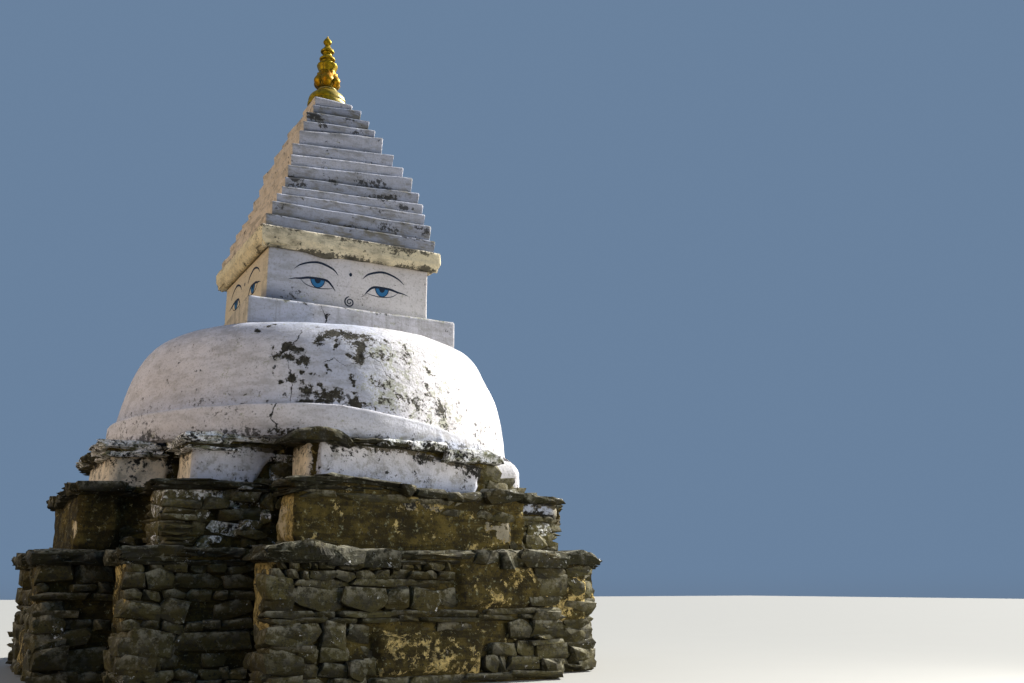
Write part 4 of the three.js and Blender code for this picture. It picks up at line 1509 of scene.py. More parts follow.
class STUPA_OT_band(bpy.types.Operator):
    """Build the low band round the dome's foot, which sinks and fades towards the right"""

    bl_idname = "stupa.band"
    bl_label = "Dome Band"

    def execute(self, context):
        turns = np.linspace(-180, 180, 520, endpoint=False)
        rad = np.radians(turns)
        tops, radii, foot = (by_turn(table, turns) for table in (BAND_TOPS, BAND_RADII, BAND_FEET))
        merge = smooth_step(1.475 - radii, 0, 0.03)
        inner = dome_radius(tops) - dome_inset(turns, tops) - 0.03
        rows = [(1.05, foot - 0.004), (radii - 0.05, foot - 0.002), (radii - 0.012, foot)]
        for share in np.linspace(0.04, 1, 12):
            bulge = 0.01 * math.sin(math.pi * min(1, share * 1.05)) - 0.01 * (1 - share)
            top_edge = tops - 0.02 - 0.05 * merge
            flare = 0.035 * (1 - share) ** 2 * (foot < 1.44)
            rows.append((radii + bulge + flare - 0.02 * merge * share, foot + (top_edge - foot) * share))
        for bend in (0.35, 0.7, 1.0):
            quarter = bend * math.pi / 2
            soft = 0.02 + 0.05 * merge
            rows.append((radii - 0.02 * merge - soft * 0.6 * (1 - math.cos(quarter)),
                         tops - soft + soft * math.sin(quarter)))
        rows.append(((radii - 0.02 - 0.02 * merge + inner) / 2, tops + 0.004))
        rows += [(inner, tops + 0.008), (inner - 0.25, tops - 0.02)]
        rings = [round_ring(rad, radius, height) for radius, height in rows]
        points, faces = skin(rings, looped=True)
        flat = points * [1, 1, 0]
        out = flat / np.linalg.norm(flat, axis=1, keepdims=True)
        outer = smooth_step(np.linalg.norm(flat, axis=1), 1.3, 1.4)
        bumps = 0.007 * ripple(points, 0.33, 6) + 0.004 * ripple(points, 0.12, 7)
        points = points + out * (bumps * outer)[:, None]
        points[:, 2] += 0.006 * ripple(points, 0.25, 8) * outer
        all_turns = turns_of(points)
        crack, reach = signed_crack(all_turns, points[:, 2], CRACK_BAND, True, radius=1.49)
        low = smooth_step(1.53 - points[:, 2], 0, 0.07)
        crumbled = np.exp(-(((all_turns + 26) / 4.5) ** 2) - ((points[:, 2] - 1.475) / 0.035) ** 2)
        fields = {
            "peel": np.maximum(0.02 + 0.14 * low + 0.1 * ripple(points, 0.3, 3), 0.62 * crumbled),
            "crack": crack,
            "crack_reach": reach,
            # Painted shade and light: a bluish tint from the front round to the right and back and on the low band,
            # darker shade to the right, and a faint warm tint on the left.
            "cool": 0.3 * smooth_step(all_turns, -30, -10) + 0.35 * low,
            "warm": 0.1 * smooth_step(-all_turns, -20, 30),
            "rough": 0.3,
            "mould": 0.32 + 0.26 * low + 0.14 * smooth_step(-all_turns - 20, 0, 25),
            "drip": 0.35 * smooth_step(all_turns, 0, 20),
            "soil": 0.1 + 0.45 * low,
            "shade": 0.25 * smooth_step(all_turns, 0, 25),
        }
        make_piece("dome_band_plaster", points, faces, dome_wash(), "whitewash", ["dome_band"], fields=fields)
        return {"FINISHED"}


# Square work over the dome


def plastered_block(name, node, outline, levels, material, slot, relief, fields, radius, spacing, middle=(0.0, 0.0)):
    """A hand-plastered block: rings at the given offsets and heights, closed at its middle and gently uneven."""
    places, ways = rounded_walk(outline, spacing, radius)
    levels = levels(places, ways) if callable(levels) else levels
    rings = [level(places, ways, row[0], row[1], row[2] if len(row) > 2 else 1.0, middle) for row in levels]
    points, faces = skin(rings)
    out = outward(ways, len(rings))
    given = fields(points, out)
    return make_piece(name, points + relief(points, out), faces, material, slot, [node], fields=given)


def waves(amount, seed):
    """The relief of a hand-plastered block: bumps on its walls, and a gentle rise and fall of its edges."""

    def relief(points, out):
        bumps = amount * ripple(points, 0.32, seed) + amount * 0.4 * ripple(points, 0.11, seed + 1)
        return out * bumps[:, None] + np.outer(amount * 0.6 * ripple(points, 0.4, seed + 4), [0, 0, 1])

    return relief


def block_levels(foot, top, edge, rows, flare=0.0, sink=0.004):
    """Rings of a plain block: in under its foot, up its wall, over its rounded edge and in across its top."""
    rows_up = [(-0.006 - flare * (1 - share), foot + (top - edge - foot) * share) for share in np.linspace(0, 1, rows)]
    return (
        [(-flare, foot - sink, 0.35), (-flare, foot - sink, 0.94), (-0.012 - flare, foot - sink * 0.5)]
        + [(offset + 0.006, height) for offset, height in rows_up]
        + [(-edge * 0.15, top - edge * 0.45), (-edge * 0.5, top - edge * 0.12), (-edge * 1.2, top)]
        + [(-edge * 2.5, top + 0.001, 0.985), (0.0, top + 0.001, 0.9), (0.0, top + 0.001, 0.45)]
    )


# The crack in the slab's front and its branch: heights, and places across.
SLAB_CRACKS = (
    [(2.362, -0.221), (2.395, -0.225), (2.422, -0.239), (2.456, -0.257), (2.491, -0.271)],
    [(2.39, -0.225), (2.405, -0.208), (2.425, -0.196)],
)


class STUPA_OT_base_slab(bpy.types.Operator):
    """Build the square slab on the dome's crown"""

    bl_idname = "stupa.base_slab"
    bl_label = "Base Slab"

    def execute(self, context):
        low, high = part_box("box_base")
        outline = [(-0.78, -0.78), (0.78, -0.78), (0.775, 0.77), (-0.705, 0.77)]

        def fields(points, out):
            front = points[:, 1] < -0.7
            crack, branch = (points[:, 0] - np.interp(points[:, 2], *np.array(line).T) for line in SLAB_CRACKS)
            low_end, high_end = SLAB_CRACKS[1][0][0], SLAB_CRACKS[1][-1][0]
            branched = (points[:, 2] > low_end) & (points[:, 2] < high_end) & (np.abs(branch) < np.abs(crack))
            crack = np.where(branched, branch, crack)
            low_part = smooth_step(2.4 - points[:, 2], 0, 0.1)
            brow = smooth_step(points[:, 2], high[2] - 0.03, high[2])
            return {
                "crack": np.where(front, crack, 1.0), "crack_reach": np.where(front & (np.abs(crack) < 0.1), 1.0, 0.0),
                # Painted shade and light: a bluish tint over the slab, stronger at the left of its front, and warm
                # light on its left face.
                "cool": 0.3 + 0.35 * smooth_step(-points[:, 0] - 0.3, 0, 0.05) * front,
                "peel": 0.04 + 0.1 * low_part, "thin": 0.42 * brow,
                "mould": 0.34 + 0.24 * brow * (out[:, 1] ** 2 + out[:, 0] ** 2),
                "rough": 0.3, "drip": 0.4,
                "warm": np.where(out[:, 0] < -0.5, 0.7, 0.05), "soil": 0.18,
            }

        levels = block_levels(low[2], high[2], edge=0.018, rows=12)
        plastered_block("base_slab_plaster", "box_base", outline, levels, box_wash(), "whitewash", waves(0.006, 40),
                        fields, radius=0.018, spacing=0.022)
        return {"FINISHED"}


def box_relief(points):
    """The unevenness of the box's faces, which the painted eyes follow."""
    return 0.003 * ripple(points, 0.34, 51) + 0.0012 * ripple(points, 0.12, 52)


class STUPA_OT_eye_box(bpy.types.Operator):
    """Build the square box that carries the painted eyes"""

    bl_idname = "stupa.eye_box"
    bl_label = "Eye Box"

    def execute(self, context):
        low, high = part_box("eye_box")

        def fields(points, out):
            front = points[:, 1] < -0.5
            front_left = smooth_step(-points[:, 0] - 0.05, 0, 0.5) * front
            low_part = smooth_step(2.66 - points[:, 2], 0, 0.16)
            spot = np.exp(-(((points[:, 0] + 0.45) / 0.14) ** 2 + ((points[:, 2] - 2.56) / 0.07) ** 2))
            return {
                # Painted shade: the front turns darker and bluer towards its left and lower left, with dirt and runs
                # laid there too; painted warm light on the left face and faintly on the right of the front.
                "cool": np.clip(0.55 * front_left + 0.5 * low_part * front_left, 0, 1) * (out[:, 1] < -0.5),
                "shade": 0.95 * low_part * smooth_step(-points[:, 0] - 0.28, 0, 0.3) * front,
                "soil": 0.3 * front_left - 0.1,
                "warm": np.where(out[:, 0] < -0.5, 0.75, 0.08 * (points[:, 0] > 0)),
                "mould": 0.28 + 0.4 * spot * front + 0.2 * smooth_step(points[:, 2], 2.87, 2.91),
                "drip": 0.04 + 0.5 * front_left * low_part,
                "peel": 0.0, "rough": 0.12,
            }

        levels = block_levels(low[2], high[2] - 0.002, edge=0.01, rows=22)
        plastered_block("eye_box_plaster", "eye_box", square(high[0]), levels, box_wash(), "whitewash",
                        lambda points, out: out * box_relief(points)[:, None], fields, radius=0.014, spacing=0.02)
        return {"FINISHED"}


def eased(stops, count):
    """A smooth line through stops of any size, by rounding between each pair."""
    stops = np.asarray(stops, dtype=float)
    padded = np.vstack([2 * stops[0] - stops[1], stops, 2 * stops[-1] - stops[-2]])
    line = []
    for index in range(1, len(padded) - 2):
        a, b, c, d = padded[index - 1 : index + 3]
        for t in np.linspace(0, 1, count, endpoint=False):
            bent = (2 * a - 5 * b + 4 * c - d) * t**2 + (3 * b - a - 3 * c + d) * t**3
            line.append(0.5 * (2 * b + (c - a) * t + bent))
    line.append(stops[-1])
    return np.array(line)


def brush_line(stops, count=10):
    """A painted line as a flat strip. Each stop is across, height and width."""
    line = eased(stops, count)
    along = np.gradient(line[:, :2], axis=0)
    along /= np.linalg.norm(along, axis=1, keepdims=True)
    side = np.column_stack([-along[:, 1], along[:, 0]])
    half = np.maximum(line[:, 2:3], 0.0012) / 2
    left, right = line[:, :2] + side * half, line[:, :2] - side * half
    points = np.vstack([left, right])
    count = len(line)
    faces = [(i, count + i, count + i + 1, i + 1) for i in range(count - 1)]
    return points, faces


def filled(outline):
    """A painted area from its outline."""
    outline = np.asarray(outline, dtype=float)
    points = np.vstack([outline, outline.mean(axis=0)])
    count = len(outline)
    return points, [(i, (i + 1) % count, count) for i in range(count)]


def arc(across, height, half_width, half_height, turns):
    return [(across + half_width * math.cos(turn), height + half_height * math.sin(turn)) for turn in turns]


def on_box(side, flat, proud):
    """Places a flat drawing on one face of the box, this far proud of the plaster."""
    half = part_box("eye_box")[1][0]
    base = np.array([(*turned_to(side, across, -half), height) for across, height in flat])
    out = np.array([*turned_to(side, 0.0, -1.0), 0.0])
    return base + out * (box_relief(base) + proud)[:, None]


def painted(shapes, proud):
    """Flat shapes on all four faces of the box, made solid: this far proud, and a little into the plaster."""
    points, faces = [], []
    for side in SIDES:
        for flat, strip in shapes:
            count, start = len(flat), sum(len(places) for places in points)
            points.extend([on_box(side, flat, proud), on_box(side, flat, -0.002)])
            faces.extend([tuple(start + i for i in face) for face in strip])
            faces.extend([tuple(start + count + i for i in reversed(face)) for face in strip])
            edges = {edge: None for face in strip for edge in zip(face, face[1:] + face[:1])}
            for a, b in edges:
                if (b, a) not in edges:
                    faces.append((start + a, start + count + a, start + count + b, start + b))
    return np.vstack(points), faces


def eye_lines(paint):
    """Lines of the motif, symmetrical about the middle: each a list of across, height and width."""
    width, line, height = paint.eye_width, paint.line, paint.eye_height
    centre = width
    inner, outer = centre - width / 2, centre + width / 2
    upper_lid = [
        (inner - 0.012, height - 0.058, 0.002), (inner + 0.014, height - 0.022, 0.65 * line),
        (inner + 0.055, height + 0.012, line), (centre, height + 0.018, line),
        (outer - 0.05, height + 0.014, line), (outer, height + 0.002, 0.8 * line),
        (outer + 0.045, height - 0.004, 0.5 * line), (outer + 0.09, height - 0.016, 0.002),
    ]
    lower_lid = [
        (inner + 0.01, height - 0.04, 0.002), (inner + 0.05, height - 0.049, 0.3 * line),
        (centre, height - 0.054, 0.35 * line), (outer - 0.045, height - 0.04, 0.3 * line),
        (outer + 0.004, height - 0.006, 0.002),
    ]
    brow = [
        (inner - 0.03, height + 0.066, 0.002), (inner + 0.015, height + 0.108, 0.75 * line),
        (centre - 0.02, height + 0.138, 0.95 * line), (centre + 0.05, height + 0.134, 0.85 * line),
        (outer + 0.005, height + 0.106, 0.6 * line), (outer + 0.055, height + 0.066, 0.002),
    ]
    return [upper_lid, lower_lid, brow]


class STUPA_OT_painted_eyes(bpy.types.Operator):
    """Paint the eyes, brows, dot and curl on all four sides of the box"""

    bl_idname = "stupa.painted_eyes"
    bl_label = "Painted Eyes"

    def execute(self, context):
        paint = context.scene.stupa_paint
        colours = context.scene.stupa_colours
        height, line = paint.eye_height, paint.line
        dark, blue = [], []
        for mirror in (1, -1):
            for stops in eye_lines(paint):
                points, faces = brush_line([(x * mirror, z, w) for x, z, w in stops])
                dark.append((points, faces))
            centre = paint.eye_width * mirror
            lid, half_turn = height + 0.015, -math.pi
            blue.append(filled(arc(centre, lid, 0.052, 0.064, np.linspace(0, half_turn, 25))))
            rim = arc(centre, lid, 0.053, 0.065, np.linspace(0, half_turn, 13))
            dark.append(brush_line([(x, z, 0.32 * line) for x, z in rim], 5))
            dark.append(filled(arc(centre, lid, 0.024, 0.034, np.linspace(0, half_turn, 17))))
        dark.append(filled(arc(0.0, height + 0.085, 0.011, 0.014, np.linspace(0, 2 * math.pi, 20, False))))
        curl = []
        for share in np.linspace(0, 1, 22):
            turn = math.pi * 0.5 + share * 3.6 * math.pi
            reach = 0.007 + 0.033 * (1 - share)
            width = line * (0.35 + 0.25 * (1 - share))
            curl.append((reach * math.cos(turn), height - 0.125 + reach * math.sin(turn), width))
        curl[0] = (curl[0][0] - 0.006, curl[0][1] + 0.004, 0.002)
        dark.append(brush_line(curl, 5))
        for name, shapes, material, proud in (
            ("eye_lines", dark, flat_paint("eye_line_paint", colours.eye_line), paint.thickness * 1.5),
            ("eye_irises", blue, flat_paint("eye_blue_paint", colours.eye_blue), paint.thickness),
        ):
            make_piece(name, *painted(shapes, proud), material, "whitewash", smooth=False)
        return {"FINISHED"}


# Clusters of mould on the cornice's front: across, height and radius.
CORNICE_MOULD = [
    (-0.584, 2.946, 0.06), (-0.416, 2.937, 0.05), (-0.355, 2.894, 0.07), (-0.31, 2.879, 0.09),
    (-0.25, 2.874, 0.09), (-0.191, 2.891, 0.06), (-0.097, 3.014, 0.06), (0.0, 2.892, 0.07),
    (0.093, 2.891, 0.06), (0.232, 2.984, 0.09), (0.312, 2.989, 0.1), (0.45, 3.012, 0.11),
    (0.533, 3.01, 0.08), (0.22, 2.872, 0.06), (0.38, 2.882, 0.07), (0.585, 2.906, 0.09),
]


class STUPA_OT_cornice(bpy.types.Operator):
    """Build the flared cream cornice over the box"""

    bl_idname = "stupa.cornice"
    bl_label = "Cornice"

    def execute(self, context):
        low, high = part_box("cornice")
        top = high[2]

        def levels(places, ways):
            sag = 0.5 + 0.5 * ripple(np.column_stack([places, np.zeros(len(places))]), 0.33, 60)
            dip = np.exp(-(((places[:, 0] + 0.22) / 0.1) ** 2)) * (ways[:, 1] < -0.7)
            foot = low[2] - 0.026 * sag - 0.026 * dip
            knee = top - 0.072 - 0.5 * (low[2] - foot)
            return [
                (-0.3, low[2] + 0.01, 0.5), (-0.2, low[2] + 0.01), (-0.072, low[2] + 0.004), (-0.058, foot + 0.002),
                (-0.046, foot), (-0.036, foot + 0.008), (-0.026, foot + 0.3 * (knee - foot)),
                (-0.014, foot + 0.6 * (knee - foot)), (-0.004, foot + 0.88 * (knee - foot)), (0.001, knee),
                (0.003, knee + 0.014), (0.004, knee + 0.035), (0.005, knee + 0.052), (0.005, top - 0.012),
                (0.001, top - 0.003), (-0.01, top), (-0.03, top + 0.001), (0.0, top + 0.001, 0.85),
                (0.0, top + 0.001, 0.4),
            ]

        def relief(points, out):
            outer = np.abs(points[:, :2]).max(axis=1) > 0.62
            rough = 0.007 * ripple(points, 0.26, 61) + 0.006 * ripple(points * [1, 1, 2], 0.1, 62)
            lip = 0.011 * smooth_step(points[:, 0], 0.06, 0.12) * smooth_step(2.952 - points[:, 2], -0.012, 0.004)
            return out * ((rough + lip * (out[:, 1] < -0.5)) * outer)[:, None]

        def fields(points, out):
            spot = np.zeros(len(points))
            for x, z, radius in CORNICE_MOULD:
                spot = np.maximum(spot, 1 - np.hypot(points[:, 0] - x, (points[:, 2] - z) * 2.2) / radius)
            edge = np.maximum(smooth_step(points[:, 2], top - 0.045, top - 0.005),
                              smooth_step(low[2] + 0.015 - points[:, 2], -0.01, 0.03))
            front = points[:, 1] < -0.5
            side = out[:, 0] < -0.5
            clustered = 0.3 * np.clip(1.3 * spot, 0, 1) * front + 0.05 * ripple(points, 0.2, 5)
            # Painted light: the left side is warmer, with less mould and dirt, and the front warmer and cleaner towards
            # the right; the top edge takes plain whitewash.
            at_corner = side * (0.2 * smooth_step(-points[:, 1], 0.25, 0.65) - 0.08)
            return {
                "mould": 0.4 + (0.26 - 0.06 * side) * edge + clustered + at_corner,
                "peel": 0.02, "drip": 0.25,
                "warm": np.where(side, 0.9, 0.25 * smooth_step(points[:, 0], 0.0, 0.5)),
                "cool": 0.75 * smooth_step(points[:, 2], top - 0.01, top + 0.002),
                "rough": 0.3,
                "soil": (0.4 + 0.55 * edge - 0.45 * smooth_step(points[:, 0], 0, 0.5)) * np.where(side, 0.5, 1.0),
            }

        colours = context.scene.stupa_colours
        # Its warm colour is a bright copy: painted warm light.
        wash = limewash("cornice_wash", colours.cream_wash, colours.whitewash, (1.0, 0.86, 0.54), grain=9.0,
                        relief=0.008, mould_scale=46.0)
        plastered_block("cornice_plaster", "cornice", square(0.694), levels, wash, "cream_wash", relief, fields,
                        radius=0.014, spacing=0.016)
        return {"FINISHED"}


# Runs of mould on the front of the spire: from one place to another across and up, and how wide.
SPIRE_MOULD = [
    (0.04, 3.57, 0.32, 3.58, 0.055), (0.19, 3.6, 0.26, 3.61, 0.05), (0.06, 3.45, 0.12, 3.46, 0.045),
    (0.17, 3.465, 0.38, 3.5, 0.045), (-0.47, 3.5, -0.37, 3.49, 0.05), (-0.46, 3.44, -0.37, 3.45, 0.04),
    (0.23, 3.2, 0.36, 3.19, 0.06), (0.24, 3.24, 0.29, 3.21, 0.05), (-0.28, 4.17, -0.16, 4.145, 0.06),
    (-0.19, 4.09, -0.13, 4.08, 0.045), (0.07, 4.07, 0.14, 4.09, 0.03), (0.41, 3.41, 0.51, 3.42, 0.04),
    (-0.58, 3.2, -0.53, 3.21, 0.03), (-0.25, 3.16, -0.16, 3.16, 0.035), (0.38, 3.14, 0.53, 3.15, 0.04),
    (-0.17, 3.82, -0.15, 3.82, 0.03), (-0.65, 3.13, -0.42, 3.15, 0.03), (0.51, 3.25, 0.61, 3.23, 0.04),
    (0.02, 4.2, 0.1, 4.21, 0.03), (0.36, 3.26, 0.42, 3.255, 0.03),
]
# Each step, from the lowest up: the height of its top's middle, how far that is from the axis, and the top's slope,
# as its rise to the right and to the back.
STEP_SLOPES = [
    (3.041, 0.0, 0.0, 0.0), (3.147, 0.001, 0.011, 0.01), (3.28, 0.009, 0.022, 0.025),
    (3.379, 0.014, 0.04, 0.04), (3.466, 0.027, 0.061, 0.05), (3.56, 0.029, 0.074, 0.055),
    (3.679, 0.02, 0.095, 0.05), (3.777, 0.006, 0.09, 0.045), (3.891, -0.018, 0.107, 0.06),
    (4.045, -0.022, 0.135, 0.058), (4.127, -0.026, 0.1, 0.055), (4.224, -0.028, 0.085, 0.05),
    (4.323, -0.024, 0.105, 0.045), (4.39, -0.043, 0.0, 0.0),
]
# How dark each step is made, from the lowest up: with dirt, and with painted bluish shade on its front.
STEP_DIRT_AND_SHADE = (0.8, 0.62, 0.5, 0.46, 0.66, 0.46, 0.16, 0.34, 0.18, 0.55, 0.75, 0.85, 0.2)
# How much each step's upper edge is dulled with mould, and the joint over it darkened with painted shade, and how far
# that reaches across.
STEP_DULL = (0.9, 0.0, 0.0, 0.0, 0.9, 0.1, 0.3, 0.8, 0.8, 0.0, 0.8, 0.6, 0.0)
DULL_END = 0.34


def step_slope(number, points):
    """How far a step's points rise or fall from level, between the slope of its foot and that of its top."""
    (foot, *below), (top, *above) = STEP_SLOPES[number], STEP_SLOPES[number + 1]
    share = np.clip((points[:, 2] - foot) / (top - foot), 0, 1)
    rises = [right * (points[:, 0] - across) + back * points[:, 1] for across, right, back in (below, above)]
    return rises[0] * (1 - share) + rises[1] * share


class STUPA_OT_spire(bpy.types.Operator):
    """Build the thirteen hand-plastered steps of the spire"""

    bl_idname = "stupa.spire"
    bl_label = "Spire Steps"

    def execute(self, context):
        colours = context.scene.stupa_colours
        # Painted warm light: the spire's left sides take a brighter, yellower copy of the warm wash.
        warm = tuple(channel * factor for channel, factor in zip(colours.dust_and_warm_light_wash, (1.08, 1.08, 1.34)))
        wash = limewash("spire_limewash", colours.whitewash, colours.sky_shade_wash, warm, grain=11.0,
                        relief=0.007, peel_scale=20.0, mould_scale=36.0, drips=22.0)
        for number, node in enumerate(SPIRE_STEPS):
            low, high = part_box(node)
            half, middle = (high[0] - low[0]) / 2, (high[0] + low[0]) / 2
            foot, top = STEP_SLOPES[number][0], STEP_SLOPES[number + 1][0]
            uneven = waves(0.011, 70 + number * 3)

            def relief(points, out, number=number, uneven=uneven):
                return uneven(points, out) + np.outer(step_slope(number, points), [0, 0, 1])

            def fields(points, out, number=number, foot=foot, top=top):
                share = (points[:, 2] - foot) / (top - foot)
                edge = smooth_step(share, 0.7, 0.95)
                points = points + np.outer(step_slope(number, points), [0, 0, 1])
                spot = capsule_field(points[:, [0, 2]], SPIRE_MOULD, lambda across, height: np.array([across, height]))
                front = out[:, 1] < -0.5
                left = out[:, 0] < -0.5
                dull = points[:, 0] < DULL_END
                brow = STEP_DULL[number] * smooth_step(share, 0.86, 0.99) * dull
                seam = STEP_DULL[number - 1] * smooth_step(0.36 - share, 0.0, 0.26) * dull
                # Mould on the dulled upper edges, and painted shade in the joints over them.
                step_grime_and_shade = np.clip(brow + seam, 0, 1) * (0.8 + 0.4 * ripple(points, 0.15, 90 + number)) * ~left
                spot = np.maximum(np.clip(spot, 0, 1) * front, 0.62 * step_grime_and_shade)
                return {
                    "mould": 0.38 + 0.32 * edge * ripple(points, 0.22, number) + 0.4 * spot,
                    # Painted shade on the front: bluish, deepest at each step's foot, on the darker steps and in the
                    # joints; painted warm light on the left sides.
                    "cool": np.clip(0.9 - 0.4 * share + 0.4 * (STEP_DIRT_AND_SHADE[number] - 0.4), 0, 1) * front,
                    "shade": np.clip(STEP_DIRT_AND_SHADE[number] - 0.15 - 0.45 * share + 1.1 * step_grime_and_shade, 0, 1) * front,
                    "warm": np.where(left, 0.95, 0.0) + 0.06 * (1 - edge) * ~left,
                    "peel": 0.06 * edge, "drip": 0.14,
                    "rough": 0.2,
                    "soil": (0.85 * STEP_DIRT_AND_SHADE[number] + 0.25 * edge) * np.where(left, 0.62, 1.0),
                }

            levels = block_levels(foot, top, flare=0.012, edge=0.014, rows=6)
            plastered_block(f"{node}_plaster", node, square(half - 0.002, middle), levels, wash, "spire_whitewash",
                            relief, fields, radius=0.016, spacing=0.022, middle=(middle, 0.0))
        return {"FINISHED"}


# Gilt finial


def turned_piece(name, node, profile, material, lobes=0, depth=0.0, seed=0.0, segments=72, pale=0.0):
    """A turned and hand-beaten piece of the finial, with lobes round it if it has any, dark with grime and painted
    shade where it faces down and between its lobes, and with a painted highlight on its sunlit right and top if it is
    given one.
    """
    low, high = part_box(node)
    middle = (low[0] + high[0]) / 2
    line = eased(profile, 5)
    turns = np.linspace(0, 2 * math.pi, segments, endpoint=False)
    ridge = np.abs(np.cos((turns + 0.31) * lobes / 2)) if lobes else np.ones(segments)
    # Painted shade, with grime: undersides and the creases between the lobes are marked dark.
    under = smooth_step(np.gradient(line[:, 0]), 0.0, 0.003) * 0.8
    rings, hollow = [], []
    for (radius, height), shade in zip(line, under):
        reach = max(radius, 0.001) * (1 + depth * (ridge**0.6 - 0.6))
        rings.append(round_ring(turns, reach, height, middle))
        hollow.append(np.maximum(shade, np.clip(1 - ridge * 3, 0, 0.8)))
    points, faces = skin(rings)
    beaten = [ripple(points, 0.05, seed), ripple(points, 0.05, seed + 1), np.zeros(len(points))]
    points = points + 0.0018 * np.column_stack(beaten)
    fields = {"hollow": np.concatenate([*hollow, [0, 0]])}
    # Painted highlight on the sunlit right, and on the top of the bell.
    if pale:
        to_the_right = smooth_step(points[:, 0] - middle, -0.06, 0.12)
        fields["pale"] = pale * to_the_right + 0.6 * pale * smooth_step(points[:, 2], 4.522, 4.545)
    return make_piece(name, points, faces, material, "gilt", [node], fields=fields)


@node_group(
    "GeometryNodeTree",
    {
        "Geometry": GEOMETRY, "Count": 8, "Radius": 0.05, "Middle": (0.0, 0.0, 0.0), "First Turn": 0.0,
        "Finish": MATERIAL,
    },
    {"Geometry": GEOMETRY},
)
def petal_tree(graph, given):
    """Sets petals round a ring, each turned to face outwards."""
    circle = graph.add("GeometryNodeMeshCircle", {"Vertices": given["Count"], "Radius": given["Radius"]})
    index = graph.add("GeometryNodeInputIndex")
    turn = graph.math("DIVIDE", graph.math("MULTIPLY", index, 2 * math.pi), given["Count"])
    rotation = graph.add("FunctionNodeEulerToRotation", {0: graph.add("ShaderNodeCombineXYZ", {"Z": turn})})
    petals = {"Points": circle, "Instance": given["Geometry"], "Rotation": rotation}
    real = graph.add("GeometryNodeRealizeInstances", {"Geometry": graph.add("GeometryNodeInstanceOnPoints", petals)})
    start = graph.add("ShaderNodeCombineXYZ", {"Z": given["First Turn"]})
    placed = graph.add("GeometryNodeTransform", {"Geometry": real, "Translation": given["Middle"], "Rotation": start})
    return [graph.add("GeometryNodeSetMaterial", {"Geometry": placed, "Material": given["Finish"]})]


def petal_mesh(name, width, height, bulge, flare, thickness):
    """One fleshy petal, standing at the origin and facing +X, with a swollen middle and a lip that turns out."""
    rings, hollow = [], []
    for up in np.linspace(0, 1, 13):
        spread = min(0.55 + 0.9 * up, 1.0) * math.sqrt(max(0.1, 1 - (max(0, up - 0.45) / 0.56) ** 2.6))
        forward = bulge * math.sin(math.pi * min(1, up * 1.15)) + flare * smooth_step(up, 0.55, 1.0)
        for back, sides in ((0.0, np.linspace(-1, 1, 9)), (thickness, np.linspace(1, -1, 9))):
            curl = 0.34 * width * (sides * spread) ** 2
            heights = up * height - 0.03 * height * sides**2 * up
            outwards = forward - curl - back * (1 - 0.5 * sides**2)
            rings.append(np.column_stack([outwards, sides * width / 2 * spread, heights]))
            # Grime and painted shade in the curled sides of the petal and on its back.
            hollow.append(np.clip(1.8 * sides**2 - 0.75, 0, 0.95) * (up < 0.9) + 0.6 * (back > 0))
    loops = [np.vstack(rings[i : i + 2]) for i in range(0, len(rings), 2)]
    points, faces = skin(loops)
    mesh = closed_mesh(name, points, faces)
    store(mesh, "hollow", np.concatenate([*hollow, [0.0, 0.0]]))
    return mesh


def set_petals(name, mesh, radius, middle, first_turn, material):
    """Six petals round the lotus."""
    given = {"Count": 6, "Radius": radius, "Middle": middle, "First Turn": first_turn, "Finish": material}
    return grown(name, mesh, petal_tree("set_petals"), given, "gilt")


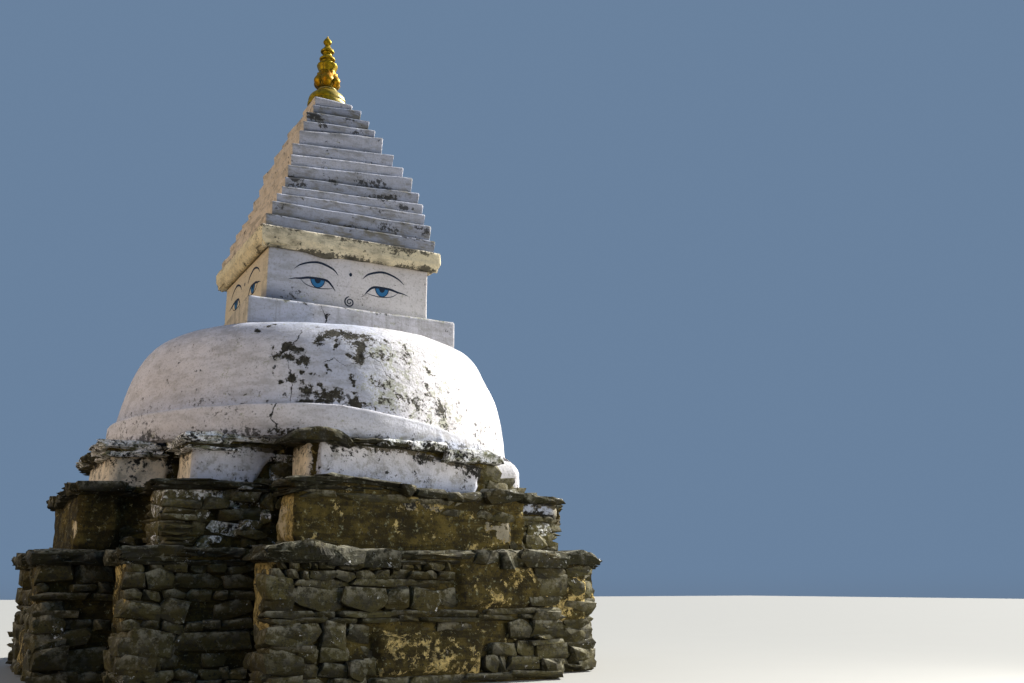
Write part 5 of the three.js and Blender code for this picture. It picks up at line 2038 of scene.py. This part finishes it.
class STUPA_OT_finial(bpy.types.Operator):
    """Build the gilt finial: bell, petalled lotus, vase, two rings and jewel"""

    bl_idname = "stupa.finial"
    bl_label = "Gilt Finial"

    def execute(self, context):
        gilt = weathered_gilt("weathered_gilt", context.scene.stupa_colours.gilt)
        lotus = weathered_gilt("lotus_gilding", context.scene.stupa_colours.lotus_gilt, (0.5, 0.2, 0.004))
        turned_piece("finial_bell", "finial_base", [
            (0.12, 4.388), (0.15, 4.39), (0.157, 4.402), (0.156, 4.424), (0.148, 4.432), (0.152, 4.444),
            (0.148, 4.466), (0.137, 4.486), (0.118, 4.506), (0.094, 4.522), (0.075, 4.532), (0.07, 4.536),
            (0.078, 4.541), (0.078, 4.548), (0.068, 4.554), (0.03, 4.556),
        ], gilt, seed=1, pale=0.8)
        turned_piece("finial_lotus_bowl", "finial_lotus", [
            (0.03, 4.55), (0.058, 4.552), (0.074, 4.562), (0.088, 4.582), (0.092, 4.612), (0.088, 4.65),
            (0.08, 4.68), (0.068, 4.704), (0.03, 4.708),
        ], lotus, lobes=6, depth=0.08, seed=3)
        low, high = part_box("finial_lotus")
        middle = (low[0] + high[0]) / 2
        outer = petal_mesh("outer_petal", width=0.112, height=0.116, bulge=0.036, flare=0.01, thickness=0.014)
        set_petals("finial_petals_outer", outer, 0.082, (middle, 0.0, 4.566), math.radians(12), lotus)
        inner = petal_mesh("inner_petal", width=0.1, height=0.104, bulge=0.012, flare=0.008, thickness=0.01)
        set_petals("finial_petals_inner", inner, 0.076, (middle, 0.0, 4.598), math.radians(42), lotus)
        turned_piece("finial_vase_lobed", "finial_vase", [
            (0.03, 4.7), (0.064, 4.704), (0.068, 4.716), (0.073, 4.734), (0.08, 4.752), (0.084, 4.766),
            (0.083, 4.774), (0.076, 4.78), (0.052, 4.784), (0.03, 4.786),
        ], gilt, lobes=7, depth=0.05, seed=5, segments=96)
        turned_piece("finial_bell_lower", "finial_ring_lower", [
            (0.03, 4.78), (0.048, 4.782), (0.047, 4.8), (0.05, 4.812), (0.062, 4.82), (0.066, 4.829),
            (0.063, 4.838), (0.052, 4.848), (0.043, 4.858), (0.036, 4.868), (0.033, 4.88), (0.02, 4.886),
        ], gilt, seed=7)
        turned_piece("finial_bell_upper", "finial_ring_upper", [
            (0.02, 4.878), (0.034, 4.88), (0.04, 4.888), (0.053, 4.893), (0.0565, 4.902), (0.053, 4.911),
            (0.043, 4.922), (0.033, 4.935), (0.024, 4.948), (0.018, 4.956), (0.01, 4.96),
        ], gilt, seed=9)
        turned_piece("finial_drop", "finial_jewel", [
            (0.01, 4.957), (0.019, 4.959), (0.024, 4.966), (0.032, 4.978), (0.034, 4.99), (0.029, 5.004),
            (0.019, 5.018), (0.01, 5.03), (0.004, 5.042), (0.001, 5.045),
        ], gilt, seed=11, segments=48)
        return {"FINISHED"}


class STUPA_PT_pieces(bpy.types.Panel):
    """Lists the stupa's pieces and settings"""

    bl_label = "Wayside Stupa"
    bl_idname = "STUPA_PT_pieces"
    bl_space_type = "VIEW_3D"
    bl_region_type = "UI"
    bl_category = "Stupa"

    def draw(self, context):
        for operator in OPERATORS:
            self.layout.operator(operator.bl_idname)
        for label, group in SETTINGS.items():
            box = self.layout.box()
            values = getattr(context.scene, label)
            for key in group.__annotations__:
                box.prop(values, key)


OPERATORS = (
    STUPA_OT_stage, STUPA_OT_lower_tier, STUPA_OT_middle_tier, STUPA_OT_upper_tier, STUPA_OT_shoulder,
    STUPA_OT_ledges, STUPA_OT_band, STUPA_OT_dome, STUPA_OT_base_slab, STUPA_OT_eye_box, STUPA_OT_painted_eyes,
    STUPA_OT_cornice, STUPA_OT_spire, STUPA_OT_finial,
)
SETTINGS = {
    "stupa_colours": StupaColours, "stupa_masonry": StupaMasonry, "stupa_paint": StupaPaint, "stupa_stage": StupaStage,
}


def register():
    for label, group in SETTINGS.items():
        bpy.utils.register_class(group)
        setattr(bpy.types.Scene, label, bpy.props.PointerProperty(type=group))
    for operator in OPERATORS:
        bpy.utils.register_class(operator)
    bpy.utils.register_class(STUPA_PT_pieces)


def unregister():
    bpy.utils.unregister_class(STUPA_PT_pieces)
    for operator in reversed(OPERATORS):
        bpy.utils.unregister_class(operator)
    for label, group in SETTINGS.items():
        delattr(bpy.types.Scene, label)
        bpy.utils.unregister_class(group)


def main():
    register()
    bpy.ops.stupa.stage()
    bpy.ops.stupa.lower_tier()
    bpy.ops.stupa.middle_tier()
    bpy.ops.stupa.upper_tier()
    bpy.ops.stupa.shoulder()
    bpy.ops.stupa.ledges()
    bpy.ops.stupa.band()
    bpy.ops.stupa.dome()
    bpy.ops.stupa.base_slab()
    bpy.ops.stupa.eye_box()
    bpy.ops.stupa.painted_eyes()
    bpy.ops.stupa.cornice()
    bpy.ops.stupa.spire()
    bpy.ops.stupa.finial()
    boxes = {"cad": CAD_BOX, "visual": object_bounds()}
    {name: [list(corner) for corner in box] for name, box in boxes.items()}


if __name__ == "__main__":
    main()
